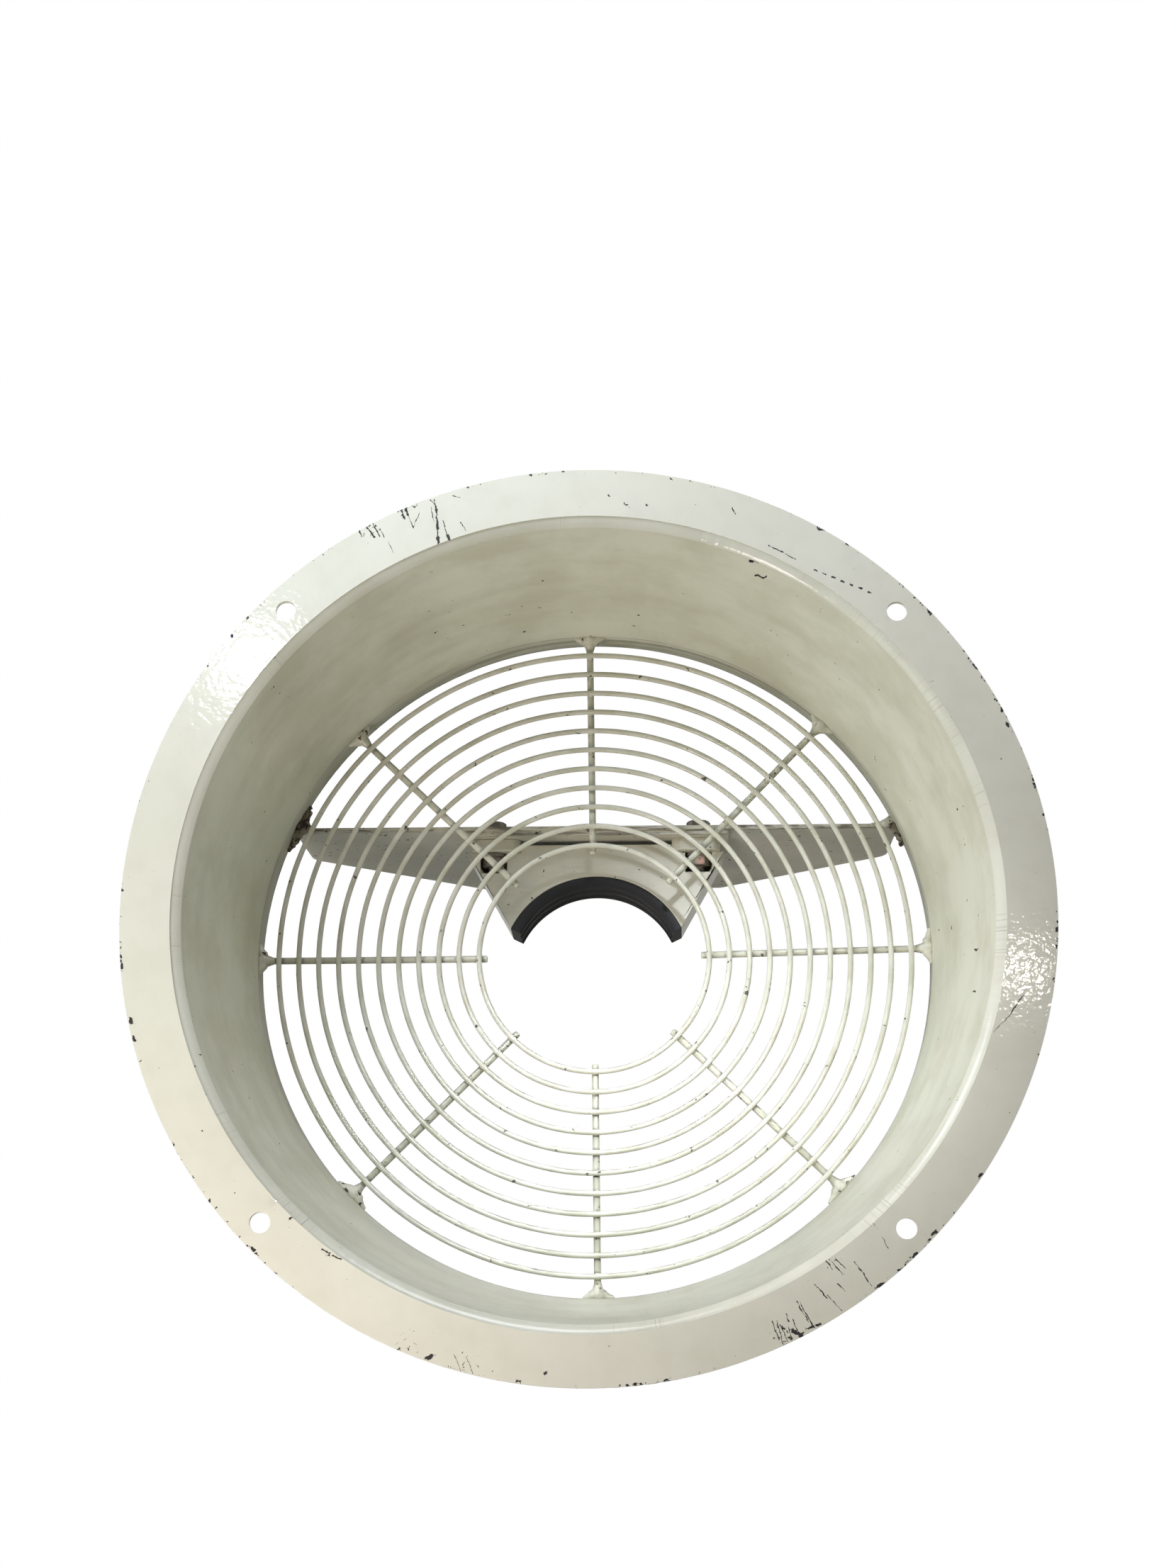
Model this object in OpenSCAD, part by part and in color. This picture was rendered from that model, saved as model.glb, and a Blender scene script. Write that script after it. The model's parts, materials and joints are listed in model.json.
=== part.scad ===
// Extractor fan housing: a flanged steel casing with a welded wire guard and a motor cradle.
// Millimetres. The origin is the centre of the mouth flange's face. The duct runs along +Y,
// the mouth looks along -Y, and +Z is up, with the motor platform above the duct's axis.

/* [Mouth flange] */
// Width of the mouth flange, from the shell's lip to its outer edge
flange_w = 22; // [18:0.5:40]
// Thickness of the flange plate
flange_t = 3; // [2:0.5:5]
// Small bevel that breaks the flange's outer edges
flange_bevel = 0.5; // [0.2:0.1:1]
// Distance from the flange's outer edge to the middle of each fixing hole
hole_edge = 10.7; // [8:0.1:11]
// Diameter of a fixing hole
hole_d = 9; // [6:0.5:11]
// Number of fixing holes
hole_count = 4; // [4:1:8]
// Angle of the first hole above level, in degrees
hole_start = 44.3; // [40:0.1:50]

/* [Duct shell] */
// Clear diameter behind the mouth's lip
mouth_d = 355.2; // [330:0.2:380]
// Clear diameter at the rear opening
rear_d = 316; // [300:1:326]
// Thickness of the shell's sheet
sheet_t = 2; // [1.5:0.5:3]
// Width of the rolled lip, from the flange to the wall
lip_w = 4.4; // [3:0.1:8]
// How far the lip's front edge sits below the flange's face
lip_step = 0.6; // [0.3:0.1:1]
// Slope of the rolled lip where it starts, in degrees from the flange's face
lip_slope_start = 25; // [20:1:30]
// Slope of the rolled lip where it meets the wall
lip_slope_end = 50; // [45:1:60]
// Depth at which the tapering wall becomes the straight rear collar
taper_end_y = 102.4; // [90:0.2:102.4]
// Depth of the rear opening
rear_y = 118; // [112:1:130]

/* [Wire guard] */
// Number of guard rings
ring_count = 11; // [6:1:14]
// Gap from the collar to the middle of the largest ring's wire
ring_wall_gap = 9.8; // [6:0.2:16]
// Radius of the smallest ring, to the middle of its wire
ring_inner_r = 54; // [40:0.2:70]
// Wire diameter of the rings
ring_wire_d = 2.5; // [2:0.1:3]
// Distance from the end of the taper to the bars
bar_setback = 0.25; // [0:0.05:6]
// Wire diameter of the radial bars
bar_wire_d = 3.2; // [2.5:0.1:3.2]
// How far each bar's inner end reaches past the smallest ring
bar_stub = 3.8; // [1:0.1:8]
// Angle of each radial bar as welded, in degrees up from +X
bar_angles = [1.4, 46.2, 90.8, 135.9, 180.1, 224.7, 270.6, 316.4];
// Radius of the flared weld that holds a bar to the wall
bar_weld_r = 3.4; // [2.5:0.1:4]
// Length of that weld along the bar
bar_weld_len = 3.2; // [2:0.1:6]

/* [Motor platform] */
// Height of the platform's top face above the duct's axis
plate_top_z = 67.8; // [60:0.2:75]
// Thickness of the platform
plate_t = 2; // [1.5:0.5:3]
// How far the platform's front corners reach over the rim that they are welded to
plate_over_rim = 1.6; // [0.8:0.1:2]
// How much each side of the platform draws in from the rim to its shoulder
shoulder_draw = 1.8; // [0:0.2:8]
// Distance from the rim to the unrounded shoulders
shoulder_len = 56.2; // [40:0.2:70]
// Radius of the rounded shoulders
shoulder_r = 12; // [6:1:20]
// Angle of the slanted rear edges, in degrees from the rear edge
rear_slant = 39.6; // [30:0.1:45]
// Length of the platform behind the rim
plate_len = 124; // [100:1:135]
// Thickness of the strip under the platform that the cradle is bolted to
strip_t = 2; // [1.5:0.5:3]
// How far the strip reaches past the feet at each end
strip_over = 4; // [1:0.5:12]
// Distance from the rim to the strip's front edge
strip_setback = 1.5; // [0.5:0.5:4]
// How far the strip reaches behind the cradle
strip_tail = 2; // [0:0.5:10]

/* [Motor cradle] */
// Inner radius of the rubber saddle, which the motor lies against
saddle_r = 40.2; // [38:0.1:42]
// Thickness of the rubber saddle
rubber_t = 5.5; // [4:0.5:7]
// Distance from the rim to the cradle's front face
cradle_setback = 12; // [8:0.5:20]
// Length of the cradle along the duct's axis
cradle_len = 24; // [22:0.5:26]
// Thickness of the cradle's front and rear plates
cheek_t = 2.5; // [2:0.5:3]
// Thickness of the cradle's band and side plates
band_t = 2; // [1.5:0.5:2.5]
// How far the cradle's shoulders reach past the feet
shoulder_over = 2; // [1:0.5:4]
// Slit between the middle of the cradle's top edge and the strip above it
top_slit = 2.3; // [0.5:0.1:4]
// Height of the lower tips of the cradle
tip_z = 20.2; // [18:0.2:22]
// Clearance round each nut, washer and bolt end in the front plate's notches
notch_gap = 0.4; // [0.3:0.1:1]

/* [Bolted feet] */
// Distance from the middle to each bolt
bolt_x = 49.5; // [46:0.5:50]
// Distance from the cradle's front face to the bolts
bolt_setback = 4; // [2:0.5:6]
// Bolt diameter
bolt_d = 6; // [5:1:8]
// Clearance of a bolt in its hole
bolt_play = 0.6; // [0.2:0.1:1]
// Width across the flats of the bolt heads and nuts
hex_af = 10; // [8:0.5:13]
// Height of a bolt head
head_h = 4; // [3:0.1:6]
// Height of a nut
nut_h = 5; // [4:0.5:6.5]
// How far a bolt's end stands out of its nut
bolt_out = 3; // [1:0.5:3]
// Washer diameter
washer_d = 12; // [11:0.5:16]
// Washer thickness
washer_t = 1.6; // [1:0.1:1.6]
// Thickness of the feet
foot_h = 6; // [4:0.5:8]
// Distance from each bolt to the foot's near side
foot_inner = 13; // [9:0.5:15]
// Distance from each bolt to the foot's far side
foot_outer = 10.5; // [9:0.5:14]
// Distance from each bolt to the foot's front edge
foot_front = 8; // [6:0.5:10]
// Radius of the feet's rounded corners
foot_r = 4; // [2:0.5:6]

/* [Hidden] */
$fn = 96;
eps = 0.01;
mouth_r = mouth_d/2;
lip_r = mouth_r + lip_w;
flange_r = lip_r + flange_w;
hole_pcd = 2*(flange_r - hole_edge);
rear_r = rear_d/2;
lip_bend_r = (lip_r - mouth_r)/(sin(lip_slope_end) - sin(lip_slope_start));
lip_depth = lip_step + lip_bend_r*(cos(lip_slope_start) - cos(lip_slope_end));
lip_back_y = 2*flange_t;
bar_y = taper_end_y + bar_setback + bar_wire_d/2;
ring_y = bar_y - bar_wire_d/2 - ring_wire_d/2;
ring_outer_r = rear_r - ring_wall_gap;
ring_step = (ring_outer_r - ring_inner_r)/(ring_count - 1);
bar_inner_r = ring_inner_r - bar_stub;
plate_bottom_z = plate_top_z - plate_t;
// The platform's corners end on the rim, at the height of the platform's middle
plate_half_w = sqrt(pow(rear_r + plate_over_rim, 2) - pow(plate_top_z - plate_t/2, 2));
shoulder_half_w = plate_half_w - shoulder_draw;
shoulder_y = rear_y + shoulder_len;
plate_rear_y = rear_y + plate_len;
strip_bottom_z = plate_bottom_z - strip_t;
bolt_hole_d = bolt_d + bolt_play;
foot_x0 = bolt_x - foot_inner;
foot_x1 = bolt_x + foot_outer;
strip_half_w = foot_x1 + strip_over;
rubber_r = saddle_r + rubber_t;
cradle_front_y = rear_y + cradle_setback;
cradle_rear_y = cradle_front_y + cradle_len;
strip_front_y = rear_y + strip_setback;
strip_rear_y = cradle_rear_y + strip_tail;
bolt_y = cradle_front_y + bolt_setback;
foot_front_y = bolt_y - foot_front;
cradle_shoulder_z = strip_bottom_z - foot_h;
cradle_half_w = foot_x1 + shoulder_over;
cradle_top_z = strip_bottom_z - top_slit;
// X of the cradle's slanted side at the tip, where the side meets the saddle's circle
tip_x = sqrt(rubber_r*rubber_r - tip_z*tip_z);
side_angle = atan2(cradle_half_w - tip_x, cradle_shoulder_z - tip_z);
side_inset = band_t/cos(side_angle);
// How far the slanted sides run on below the tips, into the space that the saddle's circle cuts away
tip_overrun = band_t*3;
washer_low_z = cradle_shoulder_z - washer_t;
nut_low_z = washer_low_z - nut_h;
head_low_z = plate_top_z + washer_t;
// Notches in the front plate, round each washer and from below each bolt's end up
notch_w = washer_d + 2*notch_gap;
notch_z = nut_low_z - bolt_out - notch_gap;
notch_h = cradle_shoulder_z - notch_z + 1;

ring_names = [for (i = [1 : ring_count]) str("guard_ring_", i < 10 ? "0" : "", i)];
bar_names = [for (i = [1 : len(bar_angles)]) str("guard_bar_", i)];

// Clear radius of the tapering wall at a given depth
function wall_r(y) = mouth_r - (mouth_r - rear_r)*(y - lip_depth)/(taper_end_y - lip_depth);

// Turns a section of (radius, depth) about the duct's axis
module turned() rotate([-90, 0, 0]) rotate_extrude($fn = 180) children();

// Stands a drawing of (X, Z) upright, from depth y0 to depth y1
module upright(y0, y1)
    translate([0, y1, 0]) rotate([90, 0, 0]) linear_extrude(y1 - y0) children();

// Rectangle with corners rounded by arcs
module rounded_rect(x0, y0, x1, y1, r) {
    translate([x0 + r, y0]) square([x1 - x0 - 2*r, y1 - y0]);
    translate([x0, y0 + r]) square([x1 - x0, y1 - y0 - 2*r]);
    for (x = [x0 + r, x1 - r], y = [y0 + r, y1 - r])
        translate([x, y]) circle(r);
}

module mouth_flange() {
    color("gainsboro") difference() {
        turned() polygon([
            [lip_r, 0], [flange_r - flange_bevel, 0], [flange_r, flange_bevel],
            [flange_r, flange_t - flange_bevel], [flange_r - flange_bevel, flange_t],
            [lip_r, flange_t]]);
        for (i = [0 : hole_count - 1])
            rotate([0, -(hole_start + i*360/hole_count), 0])
                translate([hole_pcd/2, flange_t + 1, 0])
                    rotate([90, 0, 0]) cylinder(d = hole_d, h = flange_t + 2);
    }
}

// One sheet: rolled lip at the mouth, tapering wall, straight collar at the rear
module duct_shell() {
    wall_t = sheet_t/cos(atan2(mouth_r - rear_r, taper_end_y - lip_depth));
    lip_turn = lip_slope_end - lip_slope_start;
    lip = [for (a = [for (i = [0 : 5]) lip_slope_start + lip_turn*i/5])
        [lip_r - lip_bend_r*(sin(a) - sin(lip_slope_start)),
         lip_step + lip_bend_r*(cos(lip_slope_start) - cos(a))]];
    color("gainsboro") turned() polygon(concat(
        lip,
        [[rear_r, taper_end_y], [rear_r, rear_y],
         [rear_r + sheet_t, rear_y], [rear_r + sheet_t, taper_end_y],
         [wall_r(lip_back_y) + wall_t, lip_back_y], [lip_r, flange_t]]));
}

module guard_ring(i)
    color("gainsboro") turned()
        translate([ring_outer_r - i*ring_step, ring_y]) circle(d = ring_wire_d, $fn = 32);

// A radial wire with its flared weld, cut to the curve of the collar
module guard_bar(angle)
    color("gainsboro") intersection() {
        rotate([0, -angle, 0]) translate([0, bar_y, 0]) rotate([0, 90, 0]) union() {
            translate([0, 0, bar_inner_r])
                cylinder(d = bar_wire_d, h = rear_r - bar_inner_r, $fn = 32);
            translate([0, 0, rear_r - bar_weld_len])
                cylinder(r1 = bar_wire_d/2, r2 = 2*bar_weld_r - bar_wire_d/2,
                         h = 2*bar_weld_len, $fn = 32);
        }
        translate([0, bar_y - 2*bar_weld_r, 0])
            rotate([-90, 0, 0]) cylinder(r = rear_r, h = 4*bar_weld_r, $fn = 180);
    }

// Outline of the platform in (X, Y), with rounded shoulders and slanted rear edges
module platform_outline() {
    turn = 90 - rear_slant;
    back = shoulder_r*tan(turn/2);
    centre = [shoulder_half_w - shoulder_r, shoulder_y - back];
    shoulder = [for (i = [0 : 5]) centre + shoulder_r*[cos(turn*i/5), sin(turn*i/5)]];
    rear_half_w = shoulder_half_w - (plate_rear_y - shoulder_y)/tan(rear_slant);
    right = concat([[plate_half_w, rear_y]], shoulder, [[rear_half_w, plate_rear_y]]);
    left = [for (i = [len(right) - 1 : -1 : 0]) [-right[i].x, right[i].y]];
    polygon(concat(right, left));
}

module bolt_holes()
    for (x = [-bolt_x, bolt_x])
        translate([x, bolt_y, strip_bottom_z - 2*foot_h])
            cylinder(d = bolt_hole_d, h = 2*foot_h + 2*strip_t + 2*plate_t);

module motor_platform()
    color("silver") difference() {
        translate([0, 0, plate_bottom_z]) linear_extrude(plate_t) platform_outline();
        bolt_holes();
    }

module mounting_strip()
    color("silver") difference() {
        translate([-strip_half_w, strip_front_y, strip_bottom_z])
            cube([2*strip_half_w, strip_rear_y - strip_front_y, strip_t]);
        bolt_holes();
    }

// Cradle seen from the mouth: a trapezium with its sides drawn in by inset
module cradle_trapezium(inset) {
    low_x = tip_x - tip_overrun*tan(side_angle) - inset;
    low_z = tip_z - tip_overrun;
    top_x = cradle_half_w - inset;
    polygon([
        [-top_x, cradle_shoulder_z], [-low_x, low_z], [low_x, low_z], [top_x, cradle_shoulder_z]]);
}

module cheek_outline() difference() {
    union() {
        cradle_trapezium(0);
        translate([-foot_x0, cradle_shoulder_z - eps])
            square([2*foot_x0, cradle_top_z - cradle_shoulder_z + eps]);
    }
    circle(rubber_r, $fn = 180);
}

module cradle_front_plate()
    color("silver") upright(cradle_front_y, cradle_front_y + cheek_t) difference() {
        cheek_outline();
        for (side = [-1, 1])
            translate([side*bolt_x, notch_z + notch_h/2])
                square([notch_w, notch_h], center = true);
    }

module cradle_rear_plate()
    color("silver") upright(cradle_rear_y - cheek_t, cradle_rear_y) cheek_outline();

// Arched strip between the two plates
module saddle_band()
    color("silver") upright(cradle_front_y + cheek_t, cradle_rear_y - cheek_t) intersection() {
        difference() {
            circle(rubber_r + band_t, $fn = 180);
            circle(rubber_r, $fn = 180);
        }
        cradle_trapezium(0);
    }

// Slanted plate between the two cheeks, from the band up to the foot
module cradle_side(side)
    color("silver") upright(cradle_front_y + cheek_t, cradle_rear_y - cheek_t)
        intersection() {
            difference() {
                cradle_trapezium(0);
                cradle_trapezium(side_inset);
                circle(rubber_r + band_t, $fn = 180);
            }
            translate([side*cradle_half_w, cradle_shoulder_z/2])
                square([2*cradle_half_w, cradle_shoulder_z], center = true);
        }

module cradle_foot(side)
    color("silver") difference() {
        translate([0, 0, cradle_shoulder_z])
            linear_extrude(strip_bottom_z - cradle_shoulder_z)
                mirror([side < 0 ? 1 : 0, 0, 0])
                    rounded_rect(foot_x0, foot_front_y, foot_x1, cradle_rear_y, foot_r);
        bolt_holes();
    }

module rubber_saddle()
    color([0.1, 0.1, 0.12]) upright(cradle_front_y, cradle_rear_y) intersection() {
        difference() {
            circle(rubber_r, $fn = 180);
            circle(saddle_r, $fn = 180);
        }
        polygon([[0, 0], [3*tip_x, 3*tip_z], [0, 4*rubber_r], [-3*tip_x, 3*tip_z]]);
    }

module hexagon(h)
    rotate([0, 0, 30]) cylinder(d = hex_af/cos(30), h = h, $fn = 6);

module at_bolts()
    for (x = [-bolt_x, bolt_x])
        translate([x, bolt_y, 0]) children();

module cradle_bolts()
    color([0.2, 0.18, 0.17]) at_bolts() {
        translate([0, 0, head_low_z]) hexagon(head_h);
        translate([0, 0, nut_low_z - bolt_out])
            cylinder(d = bolt_d, h = head_low_z - nut_low_z + bolt_out + eps);
    }

module washer()
    difference() {
        cylinder(d = washer_d, h = washer_t);
        translate([0, 0, -1]) cylinder(d = bolt_hole_d, h = washer_t + 2);
    }

module platform_washers()
    color([0.3, 0.28, 0.26]) at_bolts() translate([0, 0, plate_top_z]) washer();

module nut_washers()
    color([0.3, 0.28, 0.26]) at_bolts() translate([0, 0, washer_low_z]) washer();

module cradle_nuts()
    color([0.2, 0.18, 0.17]) at_bolts() translate([0, 0, nut_low_z]) difference() {
        hexagon(nut_h);
        translate([0, 0, -1]) cylinder(d = bolt_d, h = nut_h + 2);
    }

mouth_flange();
duct_shell();
motor_platform();
mounting_strip();
cradle_front_plate();
cradle_rear_plate();
saddle_band();
cradle_side(-1);  // cradle_side_left
cradle_side(1);  // cradle_side_right
cradle_foot(-1);  // cradle_foot_left
cradle_foot(1);  // cradle_foot_right
rubber_saddle();
cradle_bolts();
platform_washers();
nut_washers();
cradle_nuts();
for (i = [0 : ring_count - 1])
    guard_ring(i);
for (i = [0 : len(bar_angles) - 1])
    guard_bar(bar_angles[i]);
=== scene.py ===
# %% [markdown]
# # A flanged extractor fan housing
#
# The real object is the empty casing of a duct fan. It has a flat fixing flange, a steel shell
# that tapers to a collar, a welded wire guard across the duct, and behind the guard a platform
# that carries a rubber-lined cradle for the motor. Thick cream-grey enamel covers almost all of
# it. The frame holds every solid at its real size, so this script only dresses it: pieces whose
# edges, curves or weld metal show are modelled again, and every surface gets its own finish.

# %% Load the frame
import json
import random
from math import asin, cos, hypot, pi, radians, sin
from math import degrees as math_degrees

import bpy
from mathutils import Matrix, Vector


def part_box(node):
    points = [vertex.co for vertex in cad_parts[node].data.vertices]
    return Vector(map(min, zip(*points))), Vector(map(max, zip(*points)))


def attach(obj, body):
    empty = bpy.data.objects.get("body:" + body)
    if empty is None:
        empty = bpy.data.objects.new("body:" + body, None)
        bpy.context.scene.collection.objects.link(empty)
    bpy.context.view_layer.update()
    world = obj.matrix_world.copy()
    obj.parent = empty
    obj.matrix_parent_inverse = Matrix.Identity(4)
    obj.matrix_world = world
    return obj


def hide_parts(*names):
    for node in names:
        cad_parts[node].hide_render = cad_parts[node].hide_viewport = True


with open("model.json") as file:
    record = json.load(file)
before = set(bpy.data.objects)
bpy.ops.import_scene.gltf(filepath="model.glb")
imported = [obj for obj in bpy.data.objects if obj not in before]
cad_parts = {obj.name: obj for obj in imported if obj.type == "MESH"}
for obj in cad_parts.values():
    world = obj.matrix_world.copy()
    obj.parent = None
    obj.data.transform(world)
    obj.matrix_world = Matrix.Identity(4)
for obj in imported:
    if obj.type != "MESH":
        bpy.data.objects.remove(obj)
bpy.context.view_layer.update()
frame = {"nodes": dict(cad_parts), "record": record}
MM = 0.001
MERGE = 0.005*MM
ROUND_STEPS = 320
print("frame loaded with", len(frame["nodes"]), "nodes")

# %% [markdown]
# ## Sizes
#
# Most sizes can be read from the frame, because a node's corners lie where the steel does.
# Reading them here keeps the dressed pieces true to the solids. The few that a box can't give,
# such as where the taper ends or how far a bar is turned, are named below in millimetres and
# degrees.

# %% Read sizes from the frame


def radii_at(node, depth):
    """Smallest and largest distance from the duct's axis of a node's corners at one depth."""
    corners = [v.co for v in frame["nodes"][node].data.vertices]
    radii = [hypot(c.x, c.z) for c in corners if abs(c.y - depth) < 0.05*MM]
    return min(radii), max(radii)


def middle(node):
    """Middle of a node's box."""
    low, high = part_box(node)
    return (low + high)/2


flange_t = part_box("mouth_flange")[1].y
flange_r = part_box("mouth_flange")[1].x
lip_r = radii_at("mouth_flange", flange_t)[0]
lip_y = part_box("duct_shell")[0].y
rear_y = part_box("duct_shell")[1].y
rear_r, rear_outer_r = radii_at("duct_shell", rear_y)
sheet_t = rear_outer_r - rear_r
mouth_r = 177.6*MM
taper_end_y = 102.4*MM
lip_slopes = (radians(25), radians(50))
lip_bend_r = (lip_r - mouth_r)/(sin(lip_slopes[1]) - sin(lip_slopes[0]))
lip_depth = lip_y + lip_bend_r*(cos(lip_slopes[0]) - cos(lip_slopes[1]))
bolt_circle = frame["record"]["mounts"][0]["dims"]
hole_first = radians(44.3)
ring_names = sorted(n for n in frame["nodes"] if n.startswith("guard_ring_"))
bar_names = sorted(n for n in frame["nodes"] if n.startswith("guard_bar_"))
ring_wire_r = (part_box(ring_names[0])[1].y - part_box(ring_names[0])[0].y)/2
ring_y = middle(ring_names[0]).y
bar_wire_r = 1.6*MM
bar_y = ring_y + ring_wire_r + bar_wire_r
bar_inner_r = 50.2*MM
bar_angles = [1.4, 46.2, 90.8, 135.9, 180.1, 224.7, 270.6, 316.4]
print(f"flange {2*flange_r/MM:.1f} mm across, rear opening {2*rear_r/MM:.1f} mm, lip ends at "
      f"{lip_depth/MM:.2f} mm, rings at {ring_y/MM:.2f} mm")

# %% [markdown]
# ## Modelling helpers
#
# Blender's operators act on whatever is selected, so every helper starts by selecting only its
# own piece. A finished piece keeps its object at the origin with its place in its mesh, as the
# frame's nodes do, so a pattern on Object coordinates stays put when the piece is exported.

# %% Selection, placing and smoothing


def select_only(piece):
    """Makes a piece the only one selected, in object mode."""
    if bpy.context.object and bpy.context.object.mode == "EDIT":
        bpy.ops.object.mode_set(mode="OBJECT")
    bpy.ops.object.select_all(action="DESELECT")
    piece.select_set(True)
    bpy.context.view_layer.objects.active = piece


def settle(piece):
    """Moves a piece's place, turn and scale into its mesh."""
    select_only(piece)
    bpy.ops.object.transform_apply(location=True, rotation=True, scale=True)
    return piece


def with_modifier(piece, kind, **settings):
    """Adds one modifier and applies it at once."""
    select_only(piece)
    modifier = piece.modifiers.new(kind.lower(), kind)
    for name, value in settings.items():
        setattr(modifier, name, value)
    bpy.ops.object.modifier_apply(modifier=modifier.name)
    return piece


def soften_edges(piece, width, segments=2, angle=30):
    """Rounds the edges that turn by more than an angle."""
    return with_modifier(piece, "BEVEL", width=width, segments=segments, limit_method="ANGLE",
                         angle_limit=radians(angle))


def smooth(piece, angle, flat_above=None):
    """Smooth shading up to an angle. Faces above an area in square millimetres stay flat."""
    select_only(piece)
    bpy.ops.object.shade_smooth_by_angle(angle=radians(angle))
    for face in piece.data.polygons:
        if flat_above and face.area > flat_above*MM*MM:
            face.use_smooth = False
    return piece


def cut(piece, tool, operation="DIFFERENCE"):
    """Cuts a piece with a tool, or keeps what they share, and removes the tool."""
    with_modifier(piece, "BOOLEAN", object=tool, operation=operation, solver="EXACT")
    bpy.data.objects.remove(tool)
    return piece


def joined(name, pieces):
    """Joins several pieces into one mesh."""
    select_only(pieces[0])
    for piece in pieces:
        piece.select_set(True)
    bpy.ops.object.join()
    pieces[0].name = name
    return pieces[0]


def dress(piece, material, slot, *nodes):
    """Finishes a piece: its place in its mesh, its material and the nodes it replaces.
    The slot is not used.
    """
    settle(piece)
    piece.data.materials.clear()
    piece.data.materials.append(material)
    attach(piece, "root")
    if nodes:
        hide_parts(*nodes)
    triangles = sum(len(face.vertices) - 2 for face in piece.data.polygons)
    print(f"{piece.name}: {triangles} triangles")


def polar(radius, degrees, depth):
    """Point at a distance and an angle from the duct's axis."""
    return Vector((radius*cos(radians(degrees)), depth, radius*sin(radians(degrees))))


# %% A round bar, drawn as a cylinder


def rod(name, radius, length, centre, turn=(0, 0, 0), sides=64):
    """A cylinder, which stands upright unless it is turned."""
    bpy.ops.object.select_all(action="DESELECT")
    bpy.ops.mesh.primitive_cylinder_add(vertices=sides, radius=radius, depth=length,
                                        location=centre, rotation=turn)
    bpy.context.object.name = name
    return settle(bpy.context.object)


ALONG_Y = (radians(90), 0, 0)

# %% [markdown]
# A round sheet or bolt can be turned from its section. Spinning a profile works too, but it
# leaves a seam to merge. Here a circle is drawn at the section's first corner, then extruded and
# resized from corner to corner, which keeps clean rings of faces all the way round.

# %% A piece turned from its section


def turned(name, section, steps, along="Y", centre=(0, 0, 0), closed=True):
    """Turns a section of (radius, place) round an axis. A closed one returns to its start."""
    centre = Vector(centre)
    axis = Vector((0, 1, 0)) if along == "Y" else Vector((0, 0, 1))
    turn = ALONG_Y if along == "Y" else (0, 0, 0)
    radius, place = section[0]
    bpy.ops.object.select_all(action="DESELECT")
    bpy.ops.mesh.primitive_circle_add(vertices=steps, radius=radius, rotation=turn,
                                      location=centre + axis*place,
                                      fill_type="NOTHING" if closed else "NGON")
    piece = settle(bpy.context.object)
    piece.name = name
    corners = section[1:] + section[:1] if closed else section[1:]
    bpy.ops.object.mode_set(mode="EDIT")
    bpy.ops.mesh.select_all(action="SELECT")
    for next_radius, next_place in corners:
        step = axis*(next_place - place)
        grow = next_radius/radius
        bpy.ops.mesh.extrude_region_move(TRANSFORM_OT_translate={"value": tuple(step)})
        bpy.ops.transform.resize(value=(grow, 1, grow) if along == "Y" else (grow, grow, 1),
                                 center_override=tuple(centre))
        radius, place = next_radius, next_place
    bpy.ops.mesh.select_all(action="SELECT")
    bpy.ops.mesh.remove_doubles(threshold=MERGE)
    bpy.ops.mesh.normals_make_consistent(inside=False)
    bpy.ops.object.mode_set(mode="OBJECT")
    return piece


# %% [markdown]
# ## Shader helpers
#
# Every finish here is procedural. Small functions add one node each and give back its output
# socket, so a material reads from top to bottom like a recipe.

# %% Nodes as functions


def new_node(tree, kind, **settings):
    """Adds a node and sets its options."""
    node = tree.nodes.new(kind)
    for name, value in settings.items():
        setattr(node, name, value)
    return node


def feed(tree, node, index, value):
    """Sets an input to a number, a colour or another node's output. None leaves it alone."""
    if isinstance(value, bpy.types.NodeSocket):
        tree.links.new(value, node.inputs[index])
    elif value is not None:
        node.inputs[index].default_value = value


def calc(tree, operation, a, b=None, c=None):
    """One step of arithmetic on numbers."""
    node = new_node(tree, "ShaderNodeMath", operation=operation)
    for index, value in enumerate((a, b, c)):
        feed(tree, node, index, value)
    return node.outputs[0]


def vector_calc(tree, operation, a, b=None, scale=None):
    """One step of arithmetic on places or directions."""
    node = new_node(tree, "ShaderNodeVectorMath", operation=operation)
    feed(tree, node, 0, a)
    feed(tree, node, 1, b)
    if scale is not None:
        feed(tree, node, "Scale", scale)
    single = operation in ("LENGTH", "DISTANCE", "DOT_PRODUCT")
    return node.outputs["Value" if single else "Vector"]


def noise(tree, position, scale, detail=2.0, roughness=0.5, colour=False):
    """Noise whose scale is given as the number of features in a metre."""
    node = new_node(tree, "ShaderNodeTexNoise")
    feed(tree, node, "Vector", position)
    feed(tree, node, "Scale", scale)
    feed(tree, node, "Detail", detail)
    feed(tree, node, "Roughness", roughness)
    return node.outputs["Color" if colour else "Fac"]


def step_between(tree, value, low, high):
    """0 below low, 1 above high and a smooth step between them."""
    node = new_node(tree, "ShaderNodeMapRange", interpolation_type="SMOOTHSTEP")
    feed(tree, node, "Value", value)
    feed(tree, node, "From Min", low)
    feed(tree, node, "From Max", high)
    return node.outputs["Result"]


def blend(tree, mask, a, b):
    """Colour a where the mask is 0 and colour b where it is 1."""
    node = new_node(tree, "ShaderNodeMix", data_type="RGBA")
    feed(tree, node, 0, mask)
    feed(tree, node, 6, a)
    feed(tree, node, 7, b)
    return node.outputs[2]


def strongest(tree, masks):
    """Largest of several masks."""
    result = masks[0]
    for mask in masks[1:]:
        result = calc(tree, "MAXIMUM", result, mask)
    return result


def object_position(tree):
    """Place on the piece itself, in metres."""
    return new_node(tree, "ShaderNodeTexCoord").outputs["Object"]


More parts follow.
